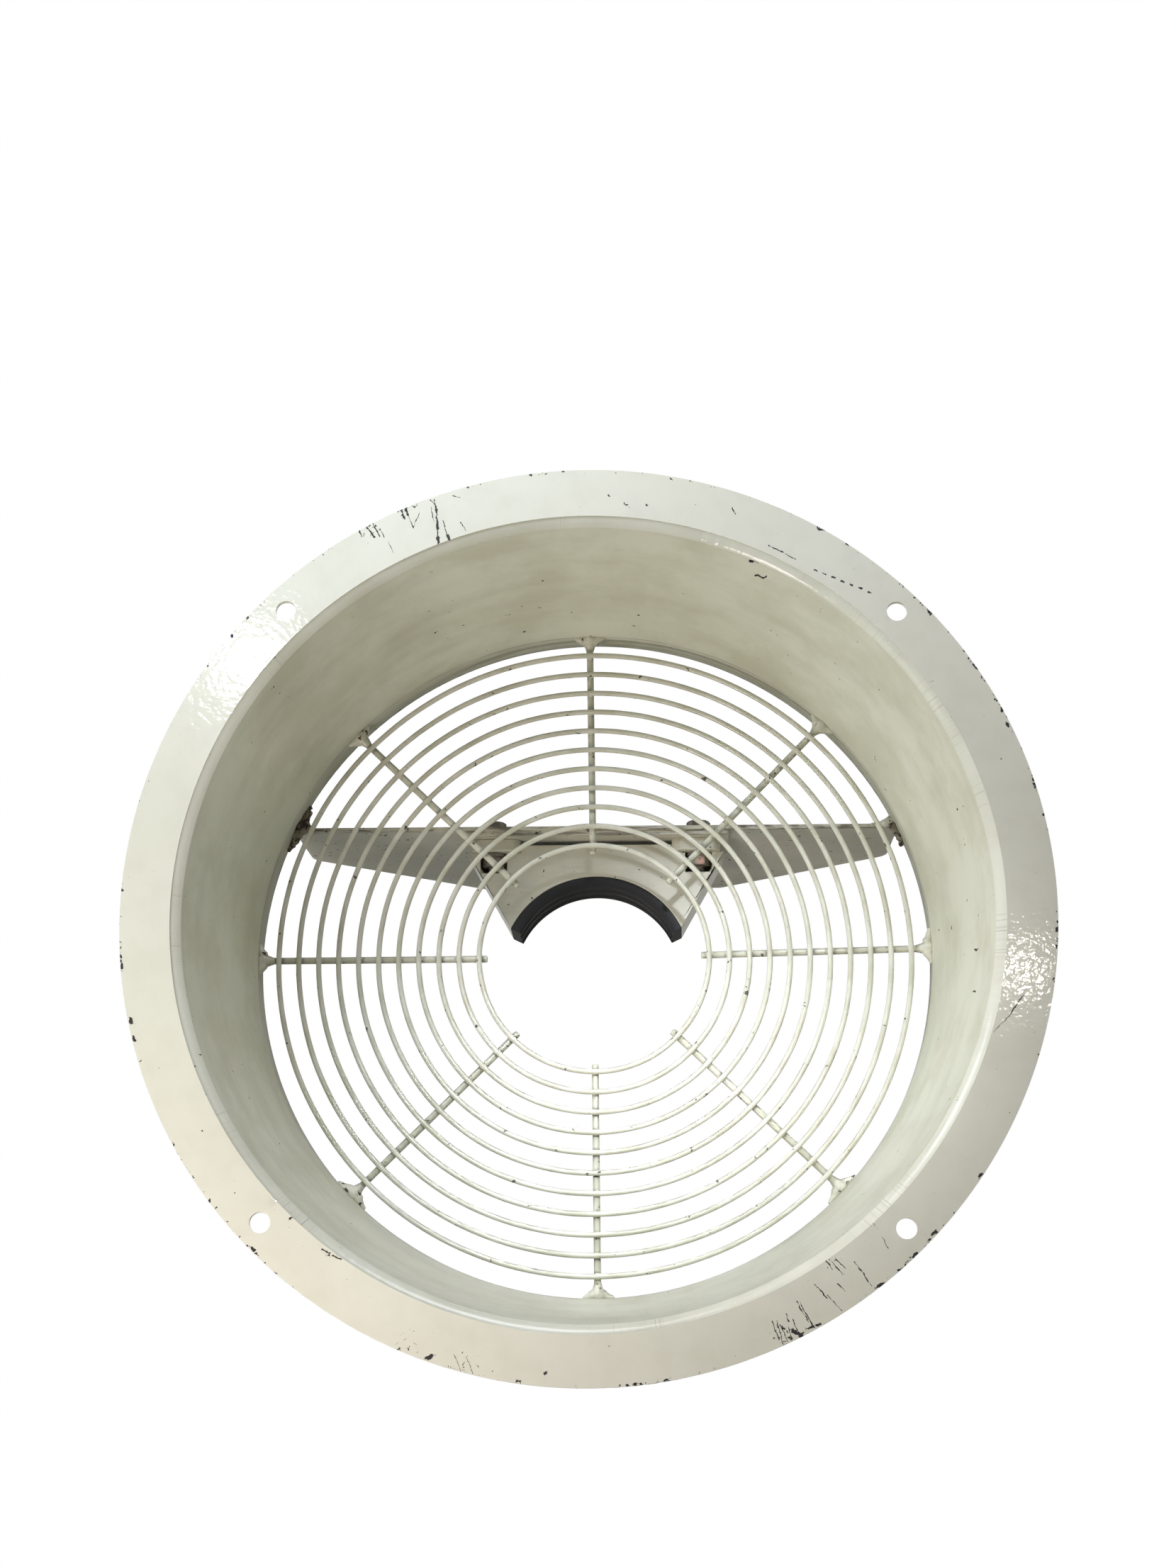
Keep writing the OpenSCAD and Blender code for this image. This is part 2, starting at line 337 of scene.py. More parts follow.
def bump(tree, height, distance, normal=None):
    """Relief of a height from 0 to 1 over a distance, on top of another relief."""
    node = new_node(tree, "ShaderNodeBump")
    feed(tree, node, "Distance", distance)
    feed(tree, node, "Height", height)
    feed(tree, node, "Normal", normal)
    return node.outputs["Normal"]


def srgb(red, green, blue):
    """A colour as a picture shows it, made linear for the shader."""
    return tuple((c/255/12.92 if c < 11 else ((c/255 + 0.055)/1.055)**2.4)
                 for c in (red, green, blue)) + (1.0,)


# %% [markdown]
# ### Shared effects
#
# Paint on this casing has a few effects that come back on several pieces: orange peel, chips down
# to dark steel, long scratches and greyish grime. Each is a node group with named inputs and one
# mask or height as its output, so that a material can place it with its own values.

# %% A group with named sockets


def new_group(name, inputs, outputs):
    """An empty group: its tree, the values it is given and the values it makes."""
    tree = bpy.data.node_groups.new(name, "ShaderNodeTree")
    for socket, kind in inputs.items():
        tree.interface.new_socket(socket, in_out="INPUT", socket_type=kind)
    for socket, kind in outputs.items():
        tree.interface.new_socket(socket, in_out="OUTPUT", socket_type=kind)
    return tree, tree.nodes.new("NodeGroupInput").outputs, tree.nodes.new("NodeGroupOutput").inputs


def use_group(tree, group, *values):
    """Places a group, feeds its inputs in order and gives back its outputs."""
    node = new_node(tree, "ShaderNodeGroup", node_tree=group)
    for index, value in enumerate(values):
        feed(tree, node, index, value)
    outputs = list(node.outputs)
    return outputs[0] if len(outputs) == 1 else outputs


VECTOR, NUMBER = "NodeSocketVector", "NodeSocketFloat"

# %% Places round the duct


def make_round_the_duct():
    """Distance from the duct's axis, direction from it, and depth behind the mouth."""
    tree, given, made = new_group("round_the_duct", {"Position": VECTOR},
                                  {"Radius": NUMBER, "Direction": VECTOR, "Depth": NUMBER})
    flat = vector_calc(tree, "MULTIPLY", given["Position"], (1, 0, 1))
    split = new_node(tree, "ShaderNodeSeparateXYZ")
    feed(tree, split, 0, given["Position"])
    tree.links.new(vector_calc(tree, "LENGTH", flat), made["Radius"])
    tree.links.new(vector_calc(tree, "NORMALIZE", flat), made["Direction"])
    tree.links.new(split.outputs["Y"], made["Depth"])
    return tree


round_the_duct = make_round_the_duct()

# %% Orange peel in thick enamel


def make_orange_peel():
    """Shallow dimples of two sizes, as sprayed enamel has when it dries before it has levelled."""
    tree, given, made = new_group("orange_peel", {"Position": VECTOR, "Grain": NUMBER},
                                  {"Height": NUMBER})
    fine = noise(tree, given["Position"], given["Grain"], 1.5, 0.45)
    broad = noise(tree, given["Position"], calc(tree, "MULTIPLY", given["Grain"], 0.3), 1.0, 0.4)
    tree.links.new(calc(tree, "MULTIPLY_ADD", broad, 0.8, fine), made["Height"])
    return tree


orange_peel = make_orange_peel()

# %% Chips down to the steel


def make_chips():
    """Small ragged flakes. Amount is how much of the surface they take, from 0 to 1."""
    tree, given, made = new_group(
        "chips", {"Position": VECTOR, "Grain": NUMBER, "Amount": NUMBER}, {"Mask": NUMBER})
    flakes = noise(tree, given["Position"], given["Grain"], 3.0, 0.62)
    level = calc(tree, "SUBTRACT", 0.72, calc(tree, "MULTIPLY", given["Amount"], 0.32))
    high = calc(tree, "ADD", level, 0.02)
    tree.links.new(step_between(tree, flakes, level, high), made["Mask"])
    return tree


chips = make_chips()

# %% A soft round patch


def make_patch():
    """1 at a centre, fading to 0 at a distance of Size. Depth along the duct doesn't count."""
    tree, given, made = new_group(
        "patch", {"Position": VECTOR, "Centre": VECTOR, "Size": NUMBER}, {"Mask": NUMBER})
    flat = vector_calc(tree, "MULTIPLY", given["Position"], (1, 0, 1))
    far = vector_calc(tree, "DISTANCE", flat, given["Centre"])
    share = calc(tree, "DIVIDE", far, given["Size"])
    tree.links.new(step_between(tree, share, 1.0, 0.25), made["Mask"])
    return tree


patch = make_patch()

# %% Scratches


def make_unsteady_hand():
    """Position flattened along the duct and shaken a little, and how hard a scratch presses."""
    tree, given, made = new_group("unsteady_hand", {"Position": VECTOR},
                                  {"Shaken": VECTOR, "Press": NUMBER})
    flat = vector_calc(tree, "MULTIPLY", given["Position"], (1, 0, 1))
    shake = vector_calc(tree, "SUBTRACT", noise(tree, flat, 260, 3.0, 0.6, colour=True),
                        (0.5, 0.5, 0.5))
    shaken = vector_calc(tree, "ADD", flat, vector_calc(tree, "SCALE", shake, scale=2.0*MM))
    tree.links.new(vector_calc(tree, "MULTIPLY", shaken, (1, 0, 1)), made["Shaken"])
    press = step_between(tree, noise(tree, flat, 420, 3.0, 0.65), 0.3, 0.72)
    tree.links.new(calc(tree, "MULTIPLY_ADD", press, 0.6, 0.08), made["Press"])
    return tree


def make_scratch():
    """A line from Start to End, as wide as Width, in the plane of the flange."""
    tree, given, made = new_group(
        "scratch", {"Shaken": VECTOR, "Press": NUMBER, "Start": VECTOR, "End": VECTOR,
                    "Width": NUMBER}, {"Mask": NUMBER})
    run = vector_calc(tree, "SUBTRACT", given["End"], given["Start"])
    half = calc(tree, "MULTIPLY", vector_calc(tree, "LENGTH", run), 0.5)
    way = vector_calc(tree, "NORMALIZE", run)
    side = vector_calc(tree, "CROSS_PRODUCT", way, (0, 1, 0))
    start_along = calc(tree, "ADD", vector_calc(tree, "DOT_PRODUCT", given["Start"], way), half)
    start_aside = vector_calc(tree, "DOT_PRODUCT", given["Start"], side)
    width = calc(tree, "MULTIPLY", given["Width"], given["Press"])
    along = calc(tree, "SUBTRACT", vector_calc(tree, "DOT_PRODUCT", given["Shaken"], way),
                 start_along)
    beyond = calc(tree, "DIVIDE", calc(tree, "SUBTRACT", calc(tree, "ABSOLUTE", along), half),
                  width)
    aside = calc(tree, "SUBTRACT", vector_calc(tree, "DOT_PRODUCT", given["Shaken"], side),
                 start_aside)
    off = calc(tree, "MAXIMUM", beyond, calc(tree, "DIVIDE", calc(tree, "ABSOLUTE", aside), width))
    tree.links.new(step_between(tree, off, 1.1, 0.7), made["Mask"])
    return tree


unsteady_hand = make_unsteady_hand()
scratch = make_scratch()

# %% Grime


def make_grime():
    """Cloudy handling dirt. A high Squeeze draws it out round the duct, a low one along it."""
    tree, given, made = new_group(
        "grime", {"Position": VECTOR, "Grain": NUMBER, "Squeeze": NUMBER}, {"Mask": NUMBER})
    shape = new_node(tree, "ShaderNodeCombineXYZ")
    feed(tree, shape, "X", 1.0)
    feed(tree, shape, "Y", given["Squeeze"])
    feed(tree, shape, "Z", 1.0)
    stretched = vector_calc(tree, "MULTIPLY", given["Position"], shape.outputs[0])
    cloud = noise(tree, stretched, given["Grain"], 4.0, 0.55)
    tree.links.new(step_between(tree, cloud, 0.42, 0.72), made["Mask"])
    return tree


grime = make_grime()
print("effects:", ", ".join(group.name for group in bpy.data.node_groups))

# %% [markdown]
# ## Finishes
#
# A gloss enamel is a coloured base under a clear, fairly sharp reflection, which one Principled
# shader gives with a low roughness. The colour is broken up by clouds and grime, and the chips
# put dark rough steel in its place.

# %% A material with its shader


def new_material(name):
    """A material with its node tree and its Principled shader."""
    material = bpy.data.materials.new(name)
    material.use_nodes = True
    tree = material.node_tree
    shader = tree.nodes["Principled BSDF"]
    return material, tree, shader


def point(x, z):
    """A place on the flange in millimetres, seen from the mouth."""
    return (x*MM, 0, z*MM)


cream = srgb(229, 228, 211)
cream_cloud = srgb(223, 222, 204)
cream_dirty = srgb(150, 143, 118)
steel_dark = srgb(50, 46, 46)

# %% [markdown]
# The flange was knocked about more than the rest. Its outer rim has lost paint in small flakes,
# the upper left and the lower right have clusters of scratches, and a few single marks stand
# alone. Each is a short line placed by its spot on the flange, so it stays with the steel. Flakes
# also sink into the relief, while the marks only take the paint's colour and gloss, because they
# are too fine to need more. The enamel itself is glossy and dimpled, which breaks a lamp's mirror
# image into many small sparks.

# %% Marks on the flange, as start, end and width in millimetres

upper_left_marks = [
    ((-70.5, 190.3), (-68.6, 188.2), 1.1), ((-68.8, 190.5), (-67.6, 180.0), 0.9),
    ((-67.6, 180.0), (-66.6, 170.0), 1.0), ((-66.9, 172.5), (-66.6, 170.0), 1.8),
    ((-65.0, 180.5), (-62.2, 171.6), 0.55), ((-62.6, 173.2), (-62.0, 171.2), 1.6),
    ((-70.4, 187.0), (-69.0, 180.0), 0.35), ((-57.0, 180.0), (-54.5, 175.0), 0.4),
    ((-60.5, 192.5), (-57.5, 191.5), 0.6), ((-84.8, 188.0), (-82.6, 182.0), 1.9),
    ((-82.0, 188.2), (-81.0, 183.0), 1.2), ((-80.5, 188.6), (-77.5, 187.0), 0.7),
    ((-81.0, 184.0), (-78.3, 177.0), 0.6), ((-75.8, 184.5), (-78.3, 177.0), 0.45),
    ((-105.0, 176.0), (-98.0, 179.0), 0.6), ((-100.5, 179.2), (-96.0, 173.0), 1.2),
    ((-97.2, 180.2), (-93.2, 173.2), 0.9), ((-103.5, 178.0), (-101.5, 173.2), 0.9),
    ((-93.5, 177.0), (-91.5, 172.5), 0.5), ((-89.5, 170.5), (-87.0, 165.5), 0.35),
]
lower_right_marks = [
    ((86.6, -181.0), (89.6, -182.2), 3.0), ((92.0, -179.8), (95.0, -179.0), 1.6),
    ((96.0, -178.3), (98.0, -177.8), 1.2), ((88.4, -168.6), (93.1, -176.9), 0.6),
    ((89.8, -169.1), (94.6, -178.3), 0.6), ((86.2, -175.9), (88.6, -180.7), 0.6),
    ((83.8, -173.9), (84.8, -176.8), 0.5), ((77.9, -176.8), (80.7, -184.6), 0.5),
    ((79.8, -176.3), (82.1, -185.6), 0.5), ((81.3, -177.8), (84.1, -185.1), 0.5),
    ((84.4, -179.0), (86.0, -184.0), 0.6), ((95.9, -161.7), (100.7, -167.1), 0.55),
    ((101.2, -166.2), (106.7, -172.2), 0.7), ((105.3, -161.3), (108.2, -164.4), 0.5),
    ((100.5, -151.0), (103.4, -154.9), 0.5), ((102.5, -151.0), (107.8, -157.4), 0.55),
    ((104.5, -150.5), (108.9, -154.9), 0.5), ((112.6, -152.1), (119.7, -162.4), 0.6),
    ((116.1, -128.4), (121.8, -137.3), 0.4), ((124.5, -142.0), (127.0, -146.5), 0.4),
]
other_marks = [
    ((187.5, -39.0), (181.6, -47.6), 0.9), ((181.6, -47.6), (174.5, -54.8), 0.35),
    ((82.0, 166.6), (88.0, 163.6), 0.7), ((88.0, 163.6), (93.5, 160.0), 0.5),
    ((65.8, 185.0), (67.2, 182.0), 1.0), ((17.2, 187.3), (17.8, 186.8), 1.6),
    ((27.0, 187.2), (27.4, 186.9), 1.4), ((9.8, 191.5), (10.2, 191.1), 1.2),
    ((-79.5, -188.5), (-78.0, -188.0), 1.0), ((-65.8, -191.8), (-64.2, -190.6), 2.4),
    ((-37.6, -201.6), (-36.8, -201.2), 2.0), ((-16.8, -197.9), (-16.2, -197.5), 1.8),
    ((-55.0, -190.0), (-52.0, -197.0), 0.35), ((-50.0, -191.0), (-47.0, -198.0), 0.35),
    ((-125.5, -133.2), (-123.6, -132.4), 1.6), ((-111.5, -146.2), (-108.0, -147.8), 1.0),
    ((-107.0, -148.6), (-103.5, -150.4), 0.9), ((-197.6, -46.6), (-196.8, -48.4), 1.8),
    ((-195.4, -55.0), (-194.8, -56.6), 1.6), ((-141.6, -145.2), (-140.2, -146.8), 1.4),
    ((-28.8, -201.2), (-27.6, -201.4), 1.6), ((145.4, -141.4), (146.8, -140.2), 2.2),
    ((165.8, -117.0), (166.8, -115.6), 1.6), ((185.0, 82.4), (185.8, 81.0), 1.4),
]
speck_row = [((102.0 + 4.0*i, 154.8 - 1.75*i), (102.9 + 4.0*i, 154.4 - 1.75*i), 1.1)
             for i in range(7)]
flange_marks = upper_left_marks + lower_right_marks + other_marks + speck_row
flaky_patches = [
    ((-97.0, 176.5), 8.0, 0.45), ((-83.0, 186.0), 6.0, 0.4), ((82.0, -181.5), 8.0, 0.5),
    ((104.0, -153.0), 7.0, 0.3), ((-48.0, -197.5), 16.0, 0.3), ((-108.0, -147.5), 6.0, 0.35),
    ((-75.0, -186.0), 9.0, 0.3),
]
print(len(flange_marks), "marks and", len(flaky_patches), "flaky patches on the flange")

# %% Enamel on the flange


def make_flange_enamel():
    """Glossy enamel, worn at the rim, in flaky patches and along each mark."""
    material, tree, shader = new_material("flange_enamel")
    position = object_position(tree)
    radius = use_group(tree, round_the_duct, position)[0]
    clouds = step_between(tree, noise(tree, position, 14, 3.0), 0.3, 0.75)
    colour = blend(tree, clouds, cream, cream_cloud)
    haze = calc(tree, "MULTIPLY", use_group(tree, grime, position, 70.0, 1.0), 0.07)
    colour = blend(tree, haze, colour, cream_dirty)
    rim = step_between(tree, radius, flange_r - 2.2*MM, flange_r - 0.5*MM)
    patchy = step_between(tree, noise(tree, position, 24, 2.0), 0.45, 0.7)
    rim_amount = calc(tree, "MULTIPLY", rim, calc(tree, "MULTIPLY_ADD", patchy, 0.5, 0.24))
    worn = use_group(tree, chips, position, 330.0, rim_amount)
    for (x, z), size, amount in flaky_patches:
        near = use_group(tree, patch, position, point(x, z), size*MM)
        flakes = use_group(tree, chips, position, 520.0, calc(tree, "MULTIPLY", near, amount))
        worn = calc(tree, "MAXIMUM", worn, flakes)
    flaked = worn
    shaken, press = use_group(tree, unsteady_hand, position)
    for start, end, width in flange_marks:
        mark = use_group(tree, scratch, shaken, press, point(*start), point(*end), width*MM)
        worn = calc(tree, "MAXIMUM", worn, mark)
    feed(tree, shader, "Base Color", blend(tree, worn, colour, steel_dark))
    feed(tree, shader, "Roughness", calc(tree, "MULTIPLY_ADD", worn, 0.45, 0.055))
    peel = use_group(tree, orange_peel, position, 380.0)
    normal = bump(tree, peel, 0.04*MM)
    feed(tree, shader, "Normal", bump(tree, flaked, -0.1*MM, normal))
    return material


flange_enamel = make_flange_enamel()

# %% [markdown]
# The shell has the same enamel, but the duct's inside is smoother and dirtier. Faint smears and
# streaks run round the wall, with a few black specks, and a darker line marks where the taper
# meets the collar. Painted shade darkens the wall along the rear rim, and the wall is darker and
# greyer low in the duct. The rolled lip is glossier, and its colour is painted paler as painted
# light. It has cracks in its paint and fine radial wrinkles from the die, and they break its
# highlight into short blocks. One recipe would be long, so it is made in three parts: paint, dirt
# with the painted rim shade, and wear.

# %% Paint in the duct, with a darker low wall and a lip painted paler


def wall_paint(tree, position, depth, lip):
    """Cloudy enamel with haze, darker low in the duct, and a lip painted paler as painted light."""
    clouds = step_between(tree, noise(tree, position, 26, 5.0, 0.62), 0.38, 0.66)
    colour = blend(tree, clouds, srgb(226, 227, 209), srgb(213, 213, 192))
    haze = calc(tree, "MULTIPLY", use_group(tree, grime, position, 14.0, 5.0), 0.16)
    colour = blend(tree, haze, colour, srgb(168, 165, 140))
    height = new_node(tree, "ShaderNodeSeparateXYZ")
    feed(tree, height, 0, position)
    # The wall is darker and greyer low in the duct, most of all in the collar, but not on the lip.
    low = step_between(tree, height.outputs["Z"], -50*MM, -150*MM)
    collar = step_between(tree, depth, taper_end_y - 3*MM, taper_end_y + 2*MM)
    greying = calc(tree, "MULTIPLY", low, calc(tree, "MULTIPLY_ADD", collar, 0.34, 0.2))
    greying = calc(tree, "MULTIPLY", greying, calc(tree, "SUBTRACT", 1.0, lip))
    colour = blend(tree, greying, colour, srgb(142, 144, 130))
    # Painted light: the lip's colour is painted paler than the wall.
    return blend(tree, calc(tree, "MULTIPLY", lip, 0.4), colour, srgb(233, 233, 218))


# %% Smears, a seam line, painted rim shade and cracks

wall_smears = [((-80.0, 135.0), 40.0), ((-30.0, 150.0), 34.0), ((-118.0, 105.0), 36.0)]


def wall_dirt_and_rim_shade(tree, position, direction, depth, lip, colour):
    """Smears, a dark seam line, painted shade along the rear rim, and cracks in the lip."""
    smears = strongest(tree, [use_group(tree, patch, position, point(x, z), size*MM)
                              for (x, z), size in wall_smears])
    streaks = use_group(tree, grime, position, 26.0, 4.0)
    smears = calc(tree, "MULTIPLY", smears, calc(tree, "MULTIPLY_ADD", streaks, 0.12, 0.05))
    colour = blend(tree, smears, colour, srgb(130, 124, 104))
    seam = step_between(tree, calc(tree, "ABSOLUTE", calc(tree, "SUBTRACT", depth, taper_end_y)),
                        0.9*MM, 0.2*MM)
    seam = calc(tree, "MULTIPLY", seam, step_between(tree, noise(tree, position, 40), 0.35, 0.6))
    # Painted shade: the wall is darkened over the last two millimetres before the rear rim.
    rear_rim_shade = step_between(tree, depth, rear_y - 1.8*MM, rear_y - 0.6*MM)
    lines = strongest(tree, [calc(tree, "MULTIPLY", seam, 0.4),
                             calc(tree, "MULTIPLY", rear_rim_shade, 0.65)])
    colour = blend(tree, lines, colour, srgb(112, 108, 92))
    cracks = noise(tree, direction, 62.0, 3.0, 0.6)
    cracks = step_between(tree, calc(tree, "ABSOLUTE", calc(tree, "SUBTRACT", cracks, 0.5)),
                          0.012, 0.002)
    cracked = step_between(tree, noise(tree, direction, 5.0, 1.0), 0.5, 0.62)
    cracks = calc(tree, "MULTIPLY", calc(tree, "MULTIPLY", cracks, cracked), lip)
    return blend(tree, calc(tree, "MULTIPLY", cracks, 0.45), colour, srgb(120, 116, 98))


# %% Specks and chips in the duct

wall_specks = [((171.0, -11.5), (171.4, -12.2), 1.0), ((169.7, -31.0), (170.1, -32.0), 1.2),
               ((73.0, 161.6), (79.0, 159.6), 0.6), ((76.0, 158.0), (81.0, 156.2), 0.4)]


def wall_wear(tree, position, depth):
    """Black specks on the wall, and chips along the rear rim, most of them on the left."""
    near_rear = step_between(tree, depth, rear_y - 2.6*MM, rear_y - 0.5*MM)
    rough_side = use_group(tree, patch, position, point(-135.0, 85.0), 120.0*MM)
    rough_side = calc(tree, "MULTIPLY_ADD", rough_side, 0.5, 0.5)
    shaken, press = use_group(tree, unsteady_hand, position)
    inside = calc(tree, "GREATER_THAN", depth, lip_depth)
    masks = [calc(tree, "MULTIPLY", inside,
                  use_group(tree, scratch, shaken, press, point(*start), point(*end), width*MM))
             for start, end, width in wall_specks]
    masks.append(use_group(tree, chips, position, 260.0,
                           calc(tree, "MULTIPLY", near_rear, rough_side)))
    return strongest(tree, masks)


# %% Enamel on the shell


def make_shell_enamel():
    """The duct's enamel: satin on the wall and glossy on the lip."""
    material, tree, shader = new_material("shell_enamel")
    position = object_position(tree)
    direction, depth = use_group(tree, round_the_duct, position)[1:]
    lip = step_between(tree, depth, lip_depth + 0.5*MM, lip_depth - 0.4*MM)
    colour = wall_paint(tree, position, depth, lip)
    colour = wall_dirt_and_rim_shade(tree, position, direction, depth, lip, colour)
    worn = wall_wear(tree, position, depth)
    feed(tree, shader, "Base Color", blend(tree, worn, colour, steel_dark))
    matt = calc(tree, "MULTIPLY_ADD", lip, -0.38, 0.52)
    feed(tree, shader, "Roughness", calc(tree, "MULTIPLY_ADD", worn, 0.3, matt))
    shader.inputs["Specular IOR Level"].default_value = 0.25
    wrinkles = noise(tree, direction, 55.0, 2.0, 0.55)
    normal = bump(tree, use_group(tree, orange_peel, position, 200.0), 0.04*MM)
    normal = bump(tree, calc(tree, "MULTIPLY", lip, wrinkles), 0.16*MM, normal)
    feed(tree, shader, "Normal", bump(tree, worn, -0.1*MM, normal))
    return material


shell_enamel = make_shell_enamel()

# %% [markdown]
# On the guard the paint is thick enough to round off the wires. Where a ring crosses a bar, painted
# shade darkens the bar beside the ring in flaky spots, and a few specks show along the wires.

# %% Enamel on the guard

outermost_r = radii_at(ring_names[0], ring_y)[1]
innermost_r = radii_at(ring_names[-1], ring_y)[1]
ring_step = (outermost_r - innermost_r)/(len(ring_names) - 1)
ring_inner_r = innermost_r - ring_wire_r


def make_wire_enamel(name, light, painted_ring_shade):
    """Cloudy enamel, with chips. The flag adds painted shade in flaky spots beside each ring."""
    material, tree, shader = new_material(name)
    position = object_position(tree)
    radius = use_group(tree, round_the_duct, position)[0]
    clouds = step_between(tree, noise(tree, position, 60, 3.0), 0.35, 0.7)
    colour = blend(tree, clouds, light, srgb(205, 204, 183))
    masks = [use_group(tree, chips, position, 260.0, 0.18)]
    if painted_ring_shade:
        # Painted shade: the bar is darkened in flaky spots beside each ring it crosses.
        turns = calc(tree, "DIVIDE", calc(tree, "SUBTRACT", radius, ring_inner_r), ring_step)
        off = calc(tree, "ABSOLUTE", calc(tree, "SUBTRACT", turns, calc(tree, "ROUND", turns)))
        near = step_between(tree, off, 0.36, 0.16)
        flakes = step_between(tree, noise(tree, position, 200, 3.0, 0.6), 0.47, 0.6)
        masks.append(calc(tree, "MULTIPLY", near, calc(tree, "MULTIPLY_ADD", flakes, 0.55, 0.06)))
    # Chips, and on the bars the painted shade beside each ring, turn the colour dark.
    worn = strongest(tree, masks)
    feed(tree, shader, "Base Color", blend(tree, worn, colour, srgb(84, 84, 76)))
    feed(tree, shader, "Roughness", calc(tree, "MULTIPLY_ADD", worn, 0.4, 0.2))
    feed(tree, shader, "Normal", bump(tree, noise(tree, position, 300, 2.0), 0.1*MM))
    return material


ring_enamel = make_wire_enamel("ring_enamel", srgb(226, 225, 210), False)
bar_enamel = make_wire_enamel("bar_enamel", srgb(218, 217, 198), True)

# %% [markdown]
# Weld metal is lumpy and pitted. On the guard thick paint lies over it, so it looks like soft
# webs with a pit here and there. The platform's left weld was left nearly bare and has rusted.

# %% Painted weld metal


def make_weld_finish(name, light, dark, pit_amount, pit_colour):
    """Two tones of paint over weld metal, with pits that have rusted."""
    material, tree, shader = new_material(name)
    position = object_position(tree)
    clouds = step_between(tree, noise(tree, position, 160, 4.0), 0.35, 0.7)
    colour = blend(tree, clouds, light, dark)
    bare = use_group(tree, chips, position, 300.0, pit_amount)
    rust = step_between(tree, noise(tree, position, 420, 3.0), 0.4, 0.65)
    bare_colour = blend(tree, rust, pit_colour, srgb(96, 78, 64))
    feed(tree, shader, "Base Color", blend(tree, bare, colour, bare_colour))
    feed(tree, shader, "Roughness", calc(tree, "MULTIPLY_ADD", bare, 0.5, 0.25))
    normal = bump(tree, noise(tree, position, 500, 3.0), 0.15*MM)
    feed(tree, shader, "Normal", bump(tree, bare, -0.25*MM, normal))
    return material


weld_finish = make_weld_finish("weld_finish", srgb(223, 222, 205), srgb(203, 201, 180), 0.32,
                               srgb(70, 64, 52))
rusty_weld_finish = make_weld_finish("rusty_weld_finish", srgb(158, 152, 132),
                                     srgb(118, 108, 88), 0.66, srgb(50, 42, 36))

# %% [markdown]
# The bracket's paint is thinner and greyer. The sheared front edges were hardly covered, so dark
# and rusty streaks run along them, while the flat faces are only a little cloudy.

# %% Thin enamel on the bracket


def make_bracket_enamel(name, streak_amount, streak_depth):
    """Streaks lie on what is nearer the mouth than streak_depth."""
    material, tree, shader = new_material(name)
    position = object_position(tree)
    depth = use_group(tree, round_the_duct, position)[2]
    clouds = step_between(tree, noise(tree, position, 34, 4.0), 0.3, 0.75)
    colour = blend(tree, clouds, srgb(212, 210, 193), srgb(198, 195, 177))
    long_way = vector_calc(tree, "MULTIPLY", position, (0.1, 1.0, 1.0))
    streaks = step_between(tree, noise(tree, long_way, 520, 4.0, 0.6), 0.47, 0.6)
    front = step_between(tree, depth, streak_depth + 1.0*MM, streak_depth)
    streaks = calc(tree, "MULTIPLY", calc(tree, "MULTIPLY", streaks, front), streak_amount)
    colour = blend(tree, streaks, colour, srgb(92, 80, 66))
    specks = use_group(tree, chips, position, 300.0, 0.16)
    feed(tree, shader, "Base Color", blend(tree, specks, colour, steel_dark))
    feed(tree, shader, "Roughness", calc(tree, "MULTIPLY_ADD", specks, 0.4, 0.28))
    peel = use_group(tree, orange_peel, position, 300.0)
    feed(tree, shader, "Normal", bump(tree, peel, 0.06*MM))
    return material


platform_front_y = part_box("motor_platform")[0].y
strip_front_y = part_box("mounting_strip")[0].y
bracket_enamel = make_bracket_enamel("bracket_enamel", 0.04, rear_y + 20*MM)
platform_enamel = make_bracket_enamel("platform_enamel", 0.75, platform_front_y + 1.5*MM)
strip_enamel = make_bracket_enamel("strip_enamel", 0.7, strip_front_y + 1.5*MM)

# %% [markdown]
# The rubber saddle is near black with a faint sheen and fine dust. The fasteners are dark oiled
# steel with rust coming through, and one nut has a pale coppery patch.

# %% Rubber and dark steel


def make_rubber():
    """Near black, with fine dust that takes its sheen away."""
    material, tree, shader = new_material("saddle_rubber")
    position = object_position(tree)
    greying = step_between(tree, noise(tree, position, 90, 5.0, 0.65), 0.5, 0.8)
    colour = blend(tree, calc(tree, "MULTIPLY", greying, 0.3), srgb(13, 13, 14), srgb(44, 44, 46))
    feed(tree, shader, "Base Color", colour)
    feed(tree, shader, "Roughness", calc(tree, "MULTIPLY_ADD", greying, 0.2, 0.48))
    feed(tree, shader, "Normal", bump(tree, noise(tree, position, 900, 2.0), 0.05*MM))
    return material


def make_dark_steel():
    """Oiled steel with rust coming through and one coppery patch."""
    material, tree, shader = new_material("fastener_steel")
    position = object_position(tree)
    rust = step_between(tree, noise(tree, position, 240, 5.0, 0.65), 0.5, 0.66)
    colour = blend(tree, rust, srgb(138, 133, 124), srgb(112, 94, 80))
    copper = use_group(tree, patch, position, point(50.3, 53.2), 3.2*MM)
    ragged = step_between(tree, noise(tree, position, 500, 3.0), 0.38, 0.5)
    copper = calc(tree, "MULTIPLY", copper, ragged)
    feed(tree, shader, "Base Color", blend(tree, copper, colour, srgb(206, 160, 142)))
    feed(tree, shader, "Metallic", calc(tree, "MULTIPLY_ADD", rust, -0.25, 0.35))
    feed(tree, shader, "Roughness", calc(tree, "MULTIPLY_ADD", rust, 0.35, 0.42))
    feed(tree, shader, "Normal", bump(tree, noise(tree, position, 700, 3.0), 0.08*MM))
    return material


saddle_rubber = make_rubber()
fastener_steel = make_dark_steel()
print("finishes:", ", ".join(material.name for material in bpy.data.materials))

# %% [markdown]
# ## The mouth flange
#
# The flange is a plate ring with four bolt holes. It could stay as the frame's solid, but its
# edges would be knife sharp. A disc is drawn, the duct's opening and the holes are cut from it,
# and every edge gets a small radius that catches the light.

# %% Flange

